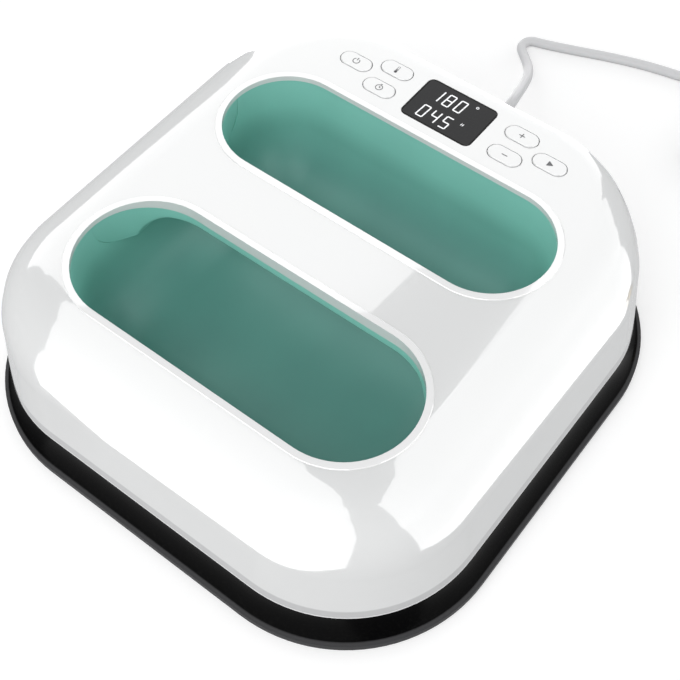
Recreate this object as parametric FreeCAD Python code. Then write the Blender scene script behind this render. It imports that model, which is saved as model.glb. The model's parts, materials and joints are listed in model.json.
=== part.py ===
import FreeCAD, Part
import math
import os
from FreeCAD import Vector

# A hand-held heat press: a square heated plate with rounded corners hangs in a black lower
# housing, a white upper housing carries the controls, and a teal well under the top leaves a
# handle bar across the middle.  Millimetres.  The origin is on the surface that the plate
# rests on, under the middle of the lower housing.  +X is the user's right, +Y is the rear
# (the cord's side) and +Z is up.

os.makedirs("parts", exist_ok=True)

# ---------------------------------------------------------------- driving dimensions
BODY_WIDTH = 290.0          # lower housing, X
BODY_DEPTH = 293.0          # lower housing, Y
BODY_CORNER = 82.4          # corner radius of the lower housing's outline

PLATE_THICK = 9.0
PLATE_PROUD = 3.0           # the plate stands this far below the lower housing
PLATE_GAP = 1.0             # air gap between the plate and the lower housing
PLATE_EDGE_ROUND = 2.0

FLANGE_HEIGHT = 4.0         # upright outer face of the lower housing
LIP_WIDTH = 2.0             # sloped lip above that face
LIP_RISE = 0.7
SKIRT_TOP = 21.8            # height at which the skirt meets the upper housing
SKIRT_INSET = 9.75          # the skirt leans in this far from the outline
SKIRT_HOLLOW = 1.3          # how far the skirt's face is dished
SKIRT_WALL = 2.6
FRAME_WALL = 2.5            # upright wall round the plate
FLOOR_THICK = 2.5
FLOOR_TOP = 26.0
RIB_THICK = 2.0
RIB_COUNT_SIDE = 4
RIB_COUNT_CORNER = 3

SHELL_WALL = 2.5            # upper housing
SHELL_TOP = 93.6
WIDE_INSET = 7.6            # the upper housing is widest here
WIDE_Z = 25.2
WIDE_CORNER = BODY_CORNER - 9.4
SIDE_LEAN = 0.14            # inset gained per millimetre of height, front and sides
REAR_LEAN = 0.09
SHOULDER_IN = 34.0          # shoulder of the front and sides: an ellipse this wide
SHOULDER_UP = 35.5          # and this high
REAR_SHOULDER_IN = 7.5
REAR_SHOULDER_UP = 7.5
TOP_CORNER_FRONT = 28.0
TOP_CORNER_REAR = 52.0
JOINT_CLEAR = 0.25          # between the two housings

SIDE_MARGIN = 49.1          # from the outline to the hand openings at the sides,
FRONT_MARGIN = 48.8         # at the front
REAR_MARGIN = 64.2          # and at the rear, where the controls are
HANDLE_WIDTH = 40.0         # bar left between the two openings
HANDLE_MIDDLE_Y = -4.5
POCKET_LENGTH = BODY_WIDTH - 2 * SIDE_MARGIN
FRONT_POCKET_WIDTH = BODY_DEPTH / 2 - FRONT_MARGIN + HANDLE_MIDDLE_Y - HANDLE_WIDTH / 2
REAR_POCKET_WIDTH = BODY_DEPTH / 2 - REAR_MARGIN - HANDLE_MIDDLE_Y - HANDLE_WIDTH / 2
BEAD_WIDTH = 3.6            # raised rim round each opening
BEAD_RISE = 0.6
HANDLE_SKIRT = 4.0          # the handle's white sides hang this far below the top wall
HANDLE_SKIRT_WALL = 2.2
SKIRT_STRAIGHT_HALF = POCKET_LENGTH / 2 - 45.9     # beyond this the white sides taper away

WELL_WALL = 2.2             # teal well
WELL_RECESS = 0.4           # it stands this far behind the edge of the opening
WELL_FLOOR_Z = FLOOR_TOP + 5.0
WELL_LEAN = 3.5             # its walls lean in by this many degrees below the rim
WELL_LEAN_FROM_Z = SHELL_TOP - 7.6
WELL_BEND_R = REAR_POCKET_WIDTH / 2 - 3.4           # and turn into its floor with this radius
SEAT_GAP = 0.1              # between pieces that are seated on each other

UNDERSIDE_WALL = 2.4        # teal underside of the handle
UNDERSIDE_RECESS = 0.5
CEILING_Z = SHELL_TOP - 14.1            # lowest face of the handle
CEILING_ROUND = 3.0
TUNNEL_HALF = POCKET_LENGTH / 2 - 5.9   # passage under the handle, half its length
TUNNEL_CORNER = 14.0
COLLAR_LOW_Z = SHELL_TOP - 24.6         # the collar at each end of the handle reaches down to here
COLLAR_CORNER = 18.0        # and its lower corners are rounded

DISPLAY_WIDTH = 43.2
DISPLAY_DEPTH = 30.5
DISPLAY_CORNER = 3.8
DISPLAY_Y = BODY_DEPTH / 2 - REAR_MARGIN + 24.0     # middle of the controls
WINDOW_THICK = 1.2
WINDOW_CLEAR = 0.15
WINDOW_LEDGE = 2.0

BUTTON_LENGTH = 18.7
BUTTON_WIDTH = 9.7
BUTTON_CLEAR = 0.45
BUTTON_PROUD = 0.5
BUTTON_TRAVEL = 0.5
BUTTON_FLANGE = 1.1         # ledge round a button that the top wall holds down
BUTTON_FLANGE_THICK = 0.9
BUTTON_STEM_R = 1.8
BUTTON_EDGE_ROUND = 0.5
OUTER_BUTTON_X = 61.0
INNER_BUTTON_X = 39.5
BUTTONS = {
    "power_button": (-OUTER_BUTTON_X, DISPLAY_Y + 0.5),
    "temperature_button": (-INNER_BUTTON_X, DISPLAY_Y + 8.3),
    "timer_button": (-INNER_BUTTON_X, DISPLAY_Y - 8.1),
    "plus_button": (INNER_BUTTON_X, DISPLAY_Y + 8.3),
    "minus_button": (INNER_BUTTON_X, DISPLAY_Y - 8.1),
    "start_button": (OUTER_BUTTON_X, DISPLAY_Y + 0.5),
}

BOARD_TOP_Z = SHELL_TOP - 11.6          # control board
BOARD_THICK = 1.6
BOARD_HALF_LENGTH = OUTER_BUTTON_X + 14.0
BOARD_FRONT_Y = DISPLAY_Y - 16.3
BOARD_CUT = 6.0             # its rear corners are cut off

POST_R = 5.5
POST_MEET_Z = 50.0          # lower posts meet the upper bosses here
POST_X, POST_Y = BODY_WIDTH / 2 - 41, BODY_DEPTH / 2 - 42.5
POST_AT = [(-POST_X, -POST_Y), (POST_X, -POST_Y), (-POST_X, POST_Y), (POST_X, POST_Y),
           (-POST_X - 9, -6), (POST_X + 9, -6)]

TAB_TOP_Z = SHELL_TOP - 11.2
TAB_THICK = 2.4
TAB_R = 5.5
WELL_OUT = WELL_RECESS + WELL_WALL      # outer face of the well, from the edge of the opening

STANDOFF_X, STANDOFF_Y = BODY_WIDTH / 2 - 83, BODY_DEPTH / 2 - 80.5
STANDOFF_AT = [(-STANDOFF_X, -STANDOFF_Y), (STANDOFF_X, -STANDOFF_Y), (-STANDOFF_X, STANDOFF_Y),
               (STANDOFF_X, STANDOFF_Y), (0, -STANDOFF_Y - 4), (0, 16)]
STANDOFF_R = 4.5

BLANKET_TOP_Z = 21.0
SHIELD_THICK = 0.8
SHIELD_RIM_LOW_Z = 14.0
ELEMENT_R = 3.5
ELEMENT_BEND = 16.0
ELEMENT_END_BEND = 8.0
ELEMENT_RISE_BEND = 9.0
ELEMENT_TOP_Z = FLOOR_TOP + 8.0
ELEMENT_END_X, ELEMENT_END_Y = 14.0, BODY_DEPTH / 2 - 34.5
ELEMENT_INNER_X = 32.0
ELEMENT_X, ELEMENT_Y = BODY_WIDTH / 2 - 53, BODY_DEPTH / 2 - 52.5
GROOVE_CLEAR = 0.15
SENSOR_HOLE_AT = (40, BODY_DEPTH / 2 - 66.5)
SENSOR_HOLE_R = 4.0

M3_HOLE_R = 1.6
M4_HOLE_R = 2.1
M3_HEAD_R = 2.8
M3_HEAD_THICK = 2.0
M4_HEAD_R = 3.8
M4_HEAD_THICK = 2.2
SCREW_SIZES = {3: (1.4, M3_HEAD_R, M3_HEAD_THICK), 4: (1.9, M4_HEAD_R, M4_HEAD_THICK)}

POWER_LEFT_X = -BODY_WIDTH / 2 + 51     # power board's front left corner
POWER_FRONT_Y = BODY_DEPTH / 2 - REAR_MARGIN + 8.2
POWER_LENGTH = 72.0
POWER_DEPTH = 30.5
POWER_CUT = 8.0             # its rear left corner is cut off
POWER_BOARD_Z = 40.0
POWER_POST_R = 3.5
SINK_LENGTH = 30.0
SINK_HEIGHT = 22.0
SINK_BACK = 2.5
FIN_COUNT = 7
FIN_THICK = 1.6
FIN_DEPTH = 7.0

CORD_D = 6.2
CORD_Z = 44.0               # the cord leaves the rear wall at this height
RELIEF_OUT = 31.0           # strain relief, from the rear wall to its tip


# ---------------------------------------------------------------- helpers
def box(x0, x1, y0, y1, z0, z1):
    return Part.makeBox(x1 - x0, y1 - y0, z1 - z0, Vector(x0, y0, z0))


def cylinder(x, y, z0, z1, r):
    return Part.makeCylinder(r, z1 - z0, Vector(x, y, z0))


def fuse(shapes):
    shapes = list(shapes)
    return shapes[0].fuse(shapes[1:]) if len(shapes) > 1 else shapes[0]


def arc(a, b, c):
    return Part.Arc(a, b, c).toShape()


def line(a, b):
    return Part.LineSegment(a, b).toShape()


def rounded_rect(x0, x1, y0, y1, r_front, r_rear, z):
    """Closed outline at height z, its front (low y) and rear corners rounded apart."""
    edges = []
    corners = [(x1, y0, r_front, -90), (x1, y1, r_rear, 0), (x0, y1, r_rear, 90), (x0, y0, r_front, 180)]
    ends = []
    for x, y, r, start in corners:
        cx = x - math.copysign(r, x - (x0 + x1) / 2)
        cy = y - math.copysign(r, y - (y0 + y1) / 2)
        at = [Vector(cx + r * math.cos(math.radians(start + t)),
                     cy + r * math.sin(math.radians(start + t)), z) for t in (0, 45, 90)]
        ends.append(at)
    for i, at in enumerate(ends):
        edges.append(arc(*at))
        edges.append(line(at[2], ends[(i + 1) % 4][0]))
    return Part.Wire(edges)


def body_outline(inset, z, corner=None):
    """The lower housing's outline, moved inwards."""
    r = BODY_CORNER - inset if corner is None else corner
    return rounded_rect(-BODY_WIDTH / 2 + inset, BODY_WIDTH / 2 - inset,
                        -BODY_DEPTH / 2 + inset, BODY_DEPTH / 2 - inset, r, r, z)


def slab(wire, height):
    return Part.Face(wire).extrude(Vector(0, 0, height))


def stadium(length, width, cx, cy, z):
    """Closed outline with half-round ends, long in X."""
    r = width / 2
    half = length / 2 - r
    low, high, left, right = cy - r, cy + r, cx - half, cx + half
    return Part.Wire([line(Vector(left, low, z), Vector(right, low, z)),
                      arc(Vector(right, low, z), Vector(right + r, cy, z), Vector(right, high, z)),
                      line(Vector(right, high, z), Vector(left, high, z)),
                      arc(Vector(left, high, z), Vector(left - r, cy, z), Vector(left, low, z))])


def ring_round_body(section):
    """Sweep a face drawn in (inset, height) round the lower housing's outline."""
    face = section.copy()
    face.rotate(Vector(0, 0, 0), Vector(1, 0, 0), 90)
    cx = BODY_WIDTH / 2 - BODY_CORNER
    cy = BODY_DEPTH / 2 - BODY_CORNER
    pieces = []
    mirrored = face.mirror(Vector(0, 0, 0), Vector(1, 0, 0))
    mirrored.translate(Vector(BODY_CORNER, 0, 0))
    turned = mirrored.revolve(Vector(0, 0, 0), Vector(0, 0, 1), 90)
    for i, (sx, sy) in enumerate([(1, 1), (-1, 1), (-1, -1), (1, -1)]):
        corner = turned.copy()
        corner.rotate(Vector(0, 0, 0), Vector(0, 0, 1), 90 * i)
        corner.translate(Vector(sx * cx, sy * cy, 0))
        pieces.append(corner)
        half, far = (cy, cx) if i % 2 == 0 else (cx, cy)
        side = mirrored.extrude(Vector(0, -2 * half, 0))
        side.translate(Vector(far, half, 0))
        side.rotate(Vector(0, 0, 0), Vector(0, 0, 1), 90 * i)
        pieces.append(side)
    return fuse(pieces).removeSplitter()


def polygon(points):
    """Face from (inset, height) points; a point given as a pair of pairs is an arc's middle and end."""
    edges = []
    here = points[0]
    for item in points[1:] + [points[0]]:
        if isinstance(item[0], tuple):
            mid, end = item
            edges.append(arc(Vector(*here, 0), Vector(*mid, 0), Vector(*end, 0)))
            here = end
        else:
            edges.append(line(Vector(*here, 0), Vector(*item, 0)))
            here = item
    return Part.Face(Part.Wire(edges))


def export(node, shape):
    shape.exportStep("parts/" + node + ".step")


# ---------------------------------------------------------------- upper housing's outer form
def wall_inset(z, lean, shoulder_in, shoulder_up, wall):
    """Inset of an upper-housing wall at height z, moved inwards by wall."""
    start = SHELL_TOP - shoulder_up
    upright = WIDE_INSET + lean * (min(z, start) - WIDE_Z) + wall
    if z <= start:
        return upright
    rise = min((z - start) / (shoulder_up - wall), 1.0)
    return upright + (shoulder_in - wall) * (1 - math.sqrt(1 - rise * rise))


def shell_solid(wall, angles):
    """The upper housing's form as one solid, its surface moved inwards by wall.

    Its outlines are stacked from the widest height up the leaning walls and over the shoulder,
    which is divided at the given angles.
    """
    shoulder_start = SHELL_TOP - SHOULDER_UP
    top_inset = wall_inset(SHELL_TOP, SIDE_LEAN, SHOULDER_IN, SHOULDER_UP, 0)
    levels = [(WIDE_Z, WIDE_Z)]
    for angle in angles:
        s = math.sin(math.radians(angle))
        levels.append((shoulder_start + SHOULDER_UP * s, shoulder_start + (SHOULDER_UP - wall) * s))
    sections = []
    for outer_z, z in levels:
        outer = wall_inset(outer_z, SIDE_LEAN, SHOULDER_IN, SHOULDER_UP, 0)
        share = (outer - WIDE_INSET) / (top_inset - WIDE_INSET)
        front_r = WIDE_CORNER + (TOP_CORNER_FRONT - WIDE_CORNER) * share - wall
        rear_r = WIDE_CORNER + (TOP_CORNER_REAR - WIDE_CORNER) * share - wall
        side = wall_inset(z, SIDE_LEAN, SHOULDER_IN, SHOULDER_UP, wall)
        rear = wall_inset(z, REAR_LEAN, REAR_SHOULDER_IN, REAR_SHOULDER_UP, wall)
        sections.append(rounded_rect(-BODY_WIDTH / 2 + side, BODY_WIDTH / 2 - side,
                                     -BODY_DEPTH / 2 + side, BODY_DEPTH / 2 - rear,
                                     front_r, rear_r, z))
    tuck = (SKIRT_INSET - WIDE_INSET) / (WIDE_Z - SKIRT_TOP)
    below = 1.0 if wall > 0 else 0.0
    low_inset = SKIRT_INSET + wall + tuck * below
    sections.insert(0, body_outline(low_inset, SKIRT_TOP - below))
    return Part.makeLoft(sections, True, True)


OUTER_ANGLES = (0, 14, 28, 42, 55, 66, 75, 83, 90)
INNER_ANGLES = (0, 30, 60, 90)


# ---------------------------------------------------------------- handle and openings
TOP_UNDER_Z = SHELL_TOP - SHELL_WALL
HANDLE_FRONT_Y = HANDLE_MIDDLE_Y - HANDLE_WIDTH / 2
HANDLE_REAR_Y = HANDLE_MIDDLE_Y + HANDLE_WIDTH / 2
FRONT_POCKET_Y = HANDLE_FRONT_Y - FRONT_POCKET_WIDTH / 2
REAR_POCKET_Y = HANDLE_REAR_Y + REAR_POCKET_WIDTH / 2
POCKETS = [(FRONT_POCKET_WIDTH, FRONT_POCKET_Y), (REAR_POCKET_WIDTH, REAR_POCKET_Y)]
FRONT_TAB_Y = FRONT_POCKET_Y - FRONT_POCKET_WIDTH / 2 - WELL_OUT - 6.2
SIDE_TAB_X = POCKET_LENGTH / 2 + WELL_OUT + 5.3
TAB_REACH = REAR_POCKET_WIDTH / 2 + WELL_OUT + 6.5     # from the middle of the well's rear corner
REAR_TAB_X = POCKET_LENGTH / 2 - REAR_POCKET_WIDTH / 2 + TAB_REACH * math.cos(math.radians(30))
REAR_TAB_Y = REAR_POCKET_Y + TAB_REACH * math.sin(math.radians(30))
TAB_AT = [(-50, FRONT_TAB_Y, -90), (50, FRONT_TAB_Y, -90), (-SIDE_TAB_X, FRONT_POCKET_Y, 180),
          (SIDE_TAB_X, FRONT_POCKET_Y, 0), (-REAR_TAB_X, REAR_TAB_Y, 150), (REAR_TAB_X, REAR_TAB_Y, 30)]


def pocket(i, grow, z0, z1):
    """One hand opening as a solid, its outline moved outwards by grow."""
    width, y = POCKETS[i]
    return slab(stadium(POCKET_LENGTH + 2 * grow, width + 2 * grow, 0, y, z0), z1 - z0)


def handle_block(grow, half_length, z0, z1):
    """The bar between the openings with its flared ends, its long sides moved inwards by grow."""
    block = box(-half_length, half_length, FRONT_POCKET_Y, REAR_POCKET_Y, z0, z1)
    return block.cut(pocket(0, grow, z0, z1)).cut(pocket(1, grow, z0, z1))


def above_parting(gap):
    """Space above the line where the handle's white sides end and its teal underside starts."""
    low = TOP_UNDER_Z - HANDLE_SKIRT - gap
    high = TOP_UNDER_Z - gap
    far = POCKET_LENGTH / 2
    run = far - SKIRT_STRAIGHT_HALF
    bend_r = (run * run + HANDLE_SKIRT * HANDLE_SKIRT) / (2 * HANDLE_SKIRT)
    half_turn = math.asin(run / bend_r) / 2
    mid_x = SKIRT_STRAIGHT_HALF + bend_r * math.sin(half_turn)
    mid_z = low + bend_r * (1 - math.cos(half_turn))
    top = SHELL_TOP + 10
    wide = far + 20
    points = [(-wide, top), (-wide, high), (-far, high), ((-mid_x, mid_z), (-SKIRT_STRAIGHT_HALF, low)),
              (SKIRT_STRAIGHT_HALF, low), ((mid_x, mid_z), (far, high)), (wide, high), (wide, top)]
    face = polygon(points)
    face.rotate(Vector(0, 0, 0), Vector(1, 0, 0), 90)
    face.translate(Vector(0, REAR_POCKET_Y + 1, 0))
    return face.extrude(Vector(0, FRONT_POCKET_Y - REAR_POCKET_Y - 2, 0))


# ---------------------------------------------------------------- upper housing
def button_hole(x, y):
    return slab(stadium(BUTTON_LENGTH + 2 * BUTTON_CLEAR, BUTTON_WIDTH + 2 * BUTTON_CLEAR,
                        x, y, TOP_UNDER_Z - 1), SHELL_WALL + 3)


def screw_boss(x, y, low_z, r, hole_r, hole_depth, inside):
    """Boss hanging from the upper housing, with a blind hole for a screw."""
    boss = cylinder(x, y, low_z, SHELL_TOP, r).common(inside)
    return boss.cut(cylinder(x, y, low_z, low_z + hole_depth, hole_r))


UPPER_BOSS_R = 5.5
TAB_BOSS_R = 3.6
BOARD_BOSS_R = 3.0
HANDLE_SCREW_X = POCKET_LENGTH / 2 - 37.9
HANDLE_SCREW_AT = [(x, HANDLE_MIDDLE_Y) for x in (-HANDLE_SCREW_X, 0, HANDLE_SCREW_X)]
HANDLE_PAD = 2.0            # thicker spot in the underside at each screw
HANDLE_BOSS_LOW_Z = CEILING_Z + UNDERSIDE_WALL + HANDLE_PAD + SEAT_GAP
RELIEF_HOLE_R = 5.2


def rear_wall_y(z):
    return BODY_DEPTH / 2 - wall_inset(z, REAR_LEAN, REAR_SHOULDER_IN, REAR_SHOULDER_UP, 0)


BOARD_REAR_Y = rear_wall_y(BOARD_TOP_Z) - SHELL_WALL - 5.3
BOARD_SCREW_AT = [(sign * x, y) for sign in (-1, 1) for x, y in (
    (BOARD_HALF_LENGTH - 5, BOARD_FRONT_Y + 5.5), (BOARD_HALF_LENGTH - 9, BOARD_REAR_Y - 5.5),
    (26.5, BOARD_FRONT_Y + 4))]


def make_upper_housing():
    outer = shell_solid(0, OUTER_ANGLES)
    middle = shell_solid(SHELL_WALL / 2, INNER_ANGLES)
    shell = outer.cut(shell_solid(SHELL_WALL, INNER_ANGLES))
    beads = [pocket(i, BEAD_WIDTH, SHELL_TOP - 1, SHELL_TOP + BEAD_RISE) for i in (0, 1)]
    beads = [b.makeChamfer(BEAD_RISE * 0.6, [e for e in b.Edges if e.BoundBox.ZMin > SHELL_TOP])
             for b in beads]
    skirt = handle_block(0, POCKET_LENGTH / 2, TOP_UNDER_Z - HANDLE_SKIRT, TOP_UNDER_Z + 0.5)
    skirt = skirt.cut(handle_block(HANDLE_SKIRT_WALL, POCKET_LENGTH, TOP_UNDER_Z - HANDLE_SKIRT - 1,
                                   TOP_UNDER_Z + 1))
    skirt = skirt.common(above_parting(0))
    bosses = [screw_boss(x, y, POST_MEET_Z, UPPER_BOSS_R, M4_HOLE_R, 14, middle) for x, y in POST_AT]
    bosses += [screw_boss(x, y, TAB_TOP_Z + SEAT_GAP, TAB_BOSS_R, M3_HOLE_R, 6, middle)
               for x, y, turn in TAB_AT]
    bosses += [screw_boss(x, y, BOARD_TOP_Z + SEAT_GAP, BOARD_BOSS_R, M3_HOLE_R, 7, middle)
               for x, y in BOARD_SCREW_AT]
    bosses += [screw_boss(x, y, HANDLE_BOSS_LOW_Z, TAB_BOSS_R, M3_HOLE_R, 5, middle)
               for x, y in HANDLE_SCREW_AT]
    shell = fuse([shell] + beads + [skirt] + bosses)
    for i in (0, 1):
        shell = shell.cut(pocket(i, 0, TOP_UNDER_Z - HANDLE_SKIRT - 1, SHELL_TOP + 2))
    half_w, half_d = DISPLAY_WIDTH / 2 + WINDOW_CLEAR, DISPLAY_DEPTH / 2 + WINDOW_CLEAR
    recess = rounded_rect(-half_w, half_w, DISPLAY_Y - half_d, DISPLAY_Y + half_d,
                          DISPLAY_CORNER, DISPLAY_CORNER, SHELL_TOP - WINDOW_THICK)
    shell = shell.cut(slab(recess, WINDOW_THICK + 1))
    half_w, half_d = half_w - WINDOW_LEDGE, half_d - WINDOW_LEDGE
    shell = shell.cut(box(-half_w, half_w, DISPLAY_Y - half_d, DISPLAY_Y + half_d,
                          TOP_UNDER_Z - 1, SHELL_TOP))
    shell = shell.cut(fuse(button_hole(x, y) for x, y in BUTTONS.values()))
    outlet = Part.makeCylinder(RELIEF_HOLE_R, 12, Vector(0, rear_wall_y(CORD_Z) - 8, CORD_Z),
                               Vector(0, 1, 0))
    return shell.cut(outlet)


export("upper_housing", make_upper_housing())


# ---------------------------------------------------------------- teal well and handle underside
WELL_TOP_Z = TOP_UNDER_Z - SEAT_GAP


def bowl(wall):
    """Space inside the well, moved outwards by wall: upright at the rim, rounded into the floor."""
    grow = WELL_RECESS + wall
    half = POCKET_LENGTH / 2 + grow
    y0 = FRONT_POCKET_Y - FRONT_POCKET_WIDTH / 2 - grow
    y1 = REAR_POCKET_Y + REAR_POCKET_WIDTH / 2 + grow
    r_front, r_rear = FRONT_POCKET_WIDTH / 2 + grow, REAR_POCKET_WIDTH / 2 + grow
    floor = WELL_FLOOR_Z - wall
    bend_r = WELL_BEND_R + wall
    lean = math.radians(WELL_LEAN)

    def section(reach):
        """Half section in X and Z with its outer wall at x = reach and the axis at x = 0."""
        lean_from = WELL_LEAN_FROM_Z
        touch_z = floor + bend_r * (1 - math.sin(lean))
        touch = Vector(reach - (lean_from - touch_z) * math.tan(lean), 0, touch_z)
        centre = touch + Vector(-bend_r * math.cos(lean), 0, bend_r * math.sin(lean))
        middle_turn = (math.pi / 2 + lean) / 2 - lean
        middle = centre + Vector(bend_r * math.cos(middle_turn), 0, -bend_r * math.sin(middle_turn))
        bottom = centre - Vector(0, 0, bend_r)
        upright, top = Vector(reach, 0, lean_from), Vector(reach, 0, WELL_TOP_Z)
        axis_top, axis_low = Vector(0, 0, WELL_TOP_Z), Vector(0, 0, floor)
        return Part.Face(Part.Wire([line(axis_low, bottom), arc(bottom, middle, touch), line(touch, upright),
                                    line(upright, top), line(top, axis_top), line(axis_top, axis_low)]))

    pieces = []
    for r, cy, turn in ((r_front, y0 + r_front, -90), (r_rear, y1 - r_rear, 90)):
        quarter = section(r).revolve(Vector(0, 0, 0), Vector(0, 0, 1), 90)
        for side in (-1, 1):
            corner = quarter.copy()
            start = {(-90, 1): -90, (-90, -1): 180, (90, 1): 0, (90, -1): 90}[(turn, side)]
            corner.rotate(Vector(0, 0, 0), Vector(0, 0, 1), start)
            corner.translate(Vector(side * (half - r), cy, 0))
            pieces.append(corner)
        end = section(r)
        end.rotate(Vector(0, 0, 0), Vector(0, 0, 1), turn)
        end.translate(Vector(-(half - r), cy, 0))
        pieces.append(end.extrude(Vector(2 * (half - r), 0, 0)))
    for side in (-1, 1):
        flank = section(r_rear)
        if side < 0:
            flank.rotate(Vector(0, 0, 0), Vector(0, 0, 1), 180)
        flank.translate(Vector(side * (half - r_rear), y0 + r_front, 0))
        pieces.append(flank.extrude(Vector(0, y1 - r_rear - y0 - r_front, 0)))
    pieces.append(box(-(half - r_rear), half - r_rear, y0 + r_front, y1 - r_rear, floor, WELL_TOP_Z))
    return fuse(pieces).removeSplitter()


def tunnel(low_z):
    """Passage under the handle, open below, with rounded upper corners."""
    r = TUNNEL_CORNER
    shift = r * (1 - math.sqrt(0.5))
    left, spring = -TUNNEL_HALF, CEILING_Z - r
    face = polygon([(left, low_z), (-left, low_z), (-left, spring),
                    ((-left - shift, CEILING_Z - shift), (-left - r, CEILING_Z)),
                    (left + r, CEILING_Z), ((left + shift, CEILING_Z - shift), (left, spring))])
    face.rotate(Vector(0, 0, 0), Vector(1, 0, 0), 90)
    face.translate(Vector(0, REAR_POCKET_Y + 1, 0))
    return face.extrude(Vector(0, FRONT_POCKET_Y - REAR_POCKET_Y - 2, 0))


def collar_space(x0, x1, gap):
    """Space across both openings that holds the collar, its lower corners rounded."""
    y0, y1, low, r = FRONT_POCKET_Y - gap, REAR_POCKET_Y + gap, COLLAR_LOW_Z - gap, COLLAR_CORNER
    shift = r * (1 - math.sqrt(0.5))
    face = polygon([(y0, SHELL_TOP), (y0, low + r), ((y0 + shift, low + shift), (y0 + r, low)),
                    (y1 - r, low), ((y1 - shift, low + shift), (y1, low + r)), (y1, SHELL_TOP)])
    face.rotate(Vector(0, 0, 0), Vector(1, 1, 1), 120)
    face.translate(Vector(x0, 0, 0))
    return face.extrude(Vector(x1 - x0, 0, 0))


def well_tab(x, y, angle):
    """Screw lug that reaches from the well's wall out to a boss of the upper housing."""
    lug = cylinder(0, 0, TAB_TOP_Z - TAB_THICK, TAB_TOP_Z, TAB_R)
    lug = lug.fuse(box(-TAB_R * 2.2, 0, -TAB_R, TAB_R, TAB_TOP_Z - TAB_THICK, TAB_TOP_Z))
    lug = lug.cut(cylinder(0, 0, TAB_TOP_Z - TAB_THICK, TAB_TOP_Z, M3_HOLE_R + 0.2))
    lug.rotate(Vector(0, 0, 0), Vector(0, 0, 1), angle)
    lug.translate(Vector(x, y, 0))
    return lug


def make_grip_well():
    well = fuse([bowl(WELL_WALL)] + [well_tab(*at) for at in TAB_AT])
    well = well.cut(bowl(0))
    reach = POCKET_LENGTH / 2 + WELL_OUT
    for side in (-1, 1):
        low, high = sorted((side * TUNNEL_HALF * 0.8, side * (reach + 1)))
        well = well.cut(collar_space(low, high, SEAT_GAP))
    return well


def make_handle_underside():
    reach = POCKET_LENGTH / 2 + WELL_OUT
    block = handle_block(UNDERSIDE_RECESS, reach, COLLAR_LOW_Z, TOP_UNDER_Z)
    block = block.common(collar_space(-reach, reach, 0)).cut(tunnel(COLLAR_LOW_Z - 5))
    long_edges = [e for e in block.Edges if e.Length > POCKET_LENGTH / 2 and e.BoundBox.YLength < 0.01
                  and abs(e.BoundBox.ZMax - CEILING_Z) < 0.01]
    block = block.makeFillet(CEILING_ROUND, long_edges)
    hollow = handle_block(UNDERSIDE_RECESS + UNDERSIDE_WALL, reach - UNDERSIDE_WALL,
                          CEILING_Z + UNDERSIDE_WALL, SHELL_TOP)
    pads = [cylinder(x, y, CEILING_Z + 1, CEILING_Z + UNDERSIDE_WALL + HANDLE_PAD, TAB_BOSS_R)
            for x, y in HANDLE_SCREW_AT]
    piece = fuse([block.cut(hollow)] + pads)
    for x, y in HANDLE_SCREW_AT:
        piece = piece.cut(cylinder(x, y, CEILING_Z - 1, SHELL_TOP, M3_HOLE_R + 0.2))
        piece = piece.cut(cylinder(x, y, CEILING_Z - 1, CEILING_Z + M3_HEAD_THICK + 0.3, M3_HEAD_R + 0.3))
    return piece.cut(above_parting(SEAT_GAP))


def screw(x, y, head_z, size, length, up):
    """Pan-head screw; head_z is the seat under its head, and it points up or down from there."""
    r, head_r, head_thick = SCREW_SIZES[size]
    way = 1 if up else -1
    z0, z1 = sorted((head_z, head_z + way * length))
    h0, h1 = sorted((head_z, head_z - way * head_thick))
    return cylinder(x, y, z0, z1, r).fuse(cylinder(x, y, h0, h1, head_r)).removeSplitter()


def screws(places, head_z, size, length, up):
    return Part.makeCompound([screw(at[0], at[1], head_z, size, length, up) for at in places])


export("grip_well", make_grip_well())
export("handle_underside", make_handle_underside())
export("handle_screws", screws(HANDLE_SCREW_AT, CEILING_Z + M3_HEAD_THICK + 0.3, 3, 6.5, True))
export("well_screws", screws(TAB_AT, TAB_TOP_Z - TAB_THICK, 3, 7.5, True))


# ---------------------------------------------------------------- lower housing
FLANGE_Z = PLATE_PROUD
FRAME_INSET = SKIRT_INSET + 7.25       # inner face of the upright wall round the plate
SHIELD_TOP_Z = BLANKET_TOP_Z + SHIELD_THICK
RELIEF_Y = rear_wall_y(CORD_Z)
CLAMP_Y = RELIEF_Y - 13.2
CLAMP_AT = [(-9, CLAMP_Y), (9, CLAMP_Y)]
TERMINAL_AT = [(-ELEMENT_END_X, ELEMENT_END_Y), (ELEMENT_END_X, ELEMENT_END_Y)]


def on_power_board(x, y):
    """Place on the power board, from its front left corner."""
    return POWER_LEFT_X + x, POWER_FRONT_Y + y


POWER_SCREW_AT = [on_power_board(*at) for at in ((4, 4), (68, 4), (10, 26.5), (68, 26.5))]


def skirt_face(z):
    """Rough inset of the skirt's hollow side at height z, for the ribs and the core."""
    share = (z - FLANGE_Z - FLANGE_HEIGHT) / (SKIRT_TOP - FLANGE_Z - FLANGE_HEIGHT)
    return LIP_WIDTH + (SKIRT_INSET - LIP_WIDTH) * share


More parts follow.
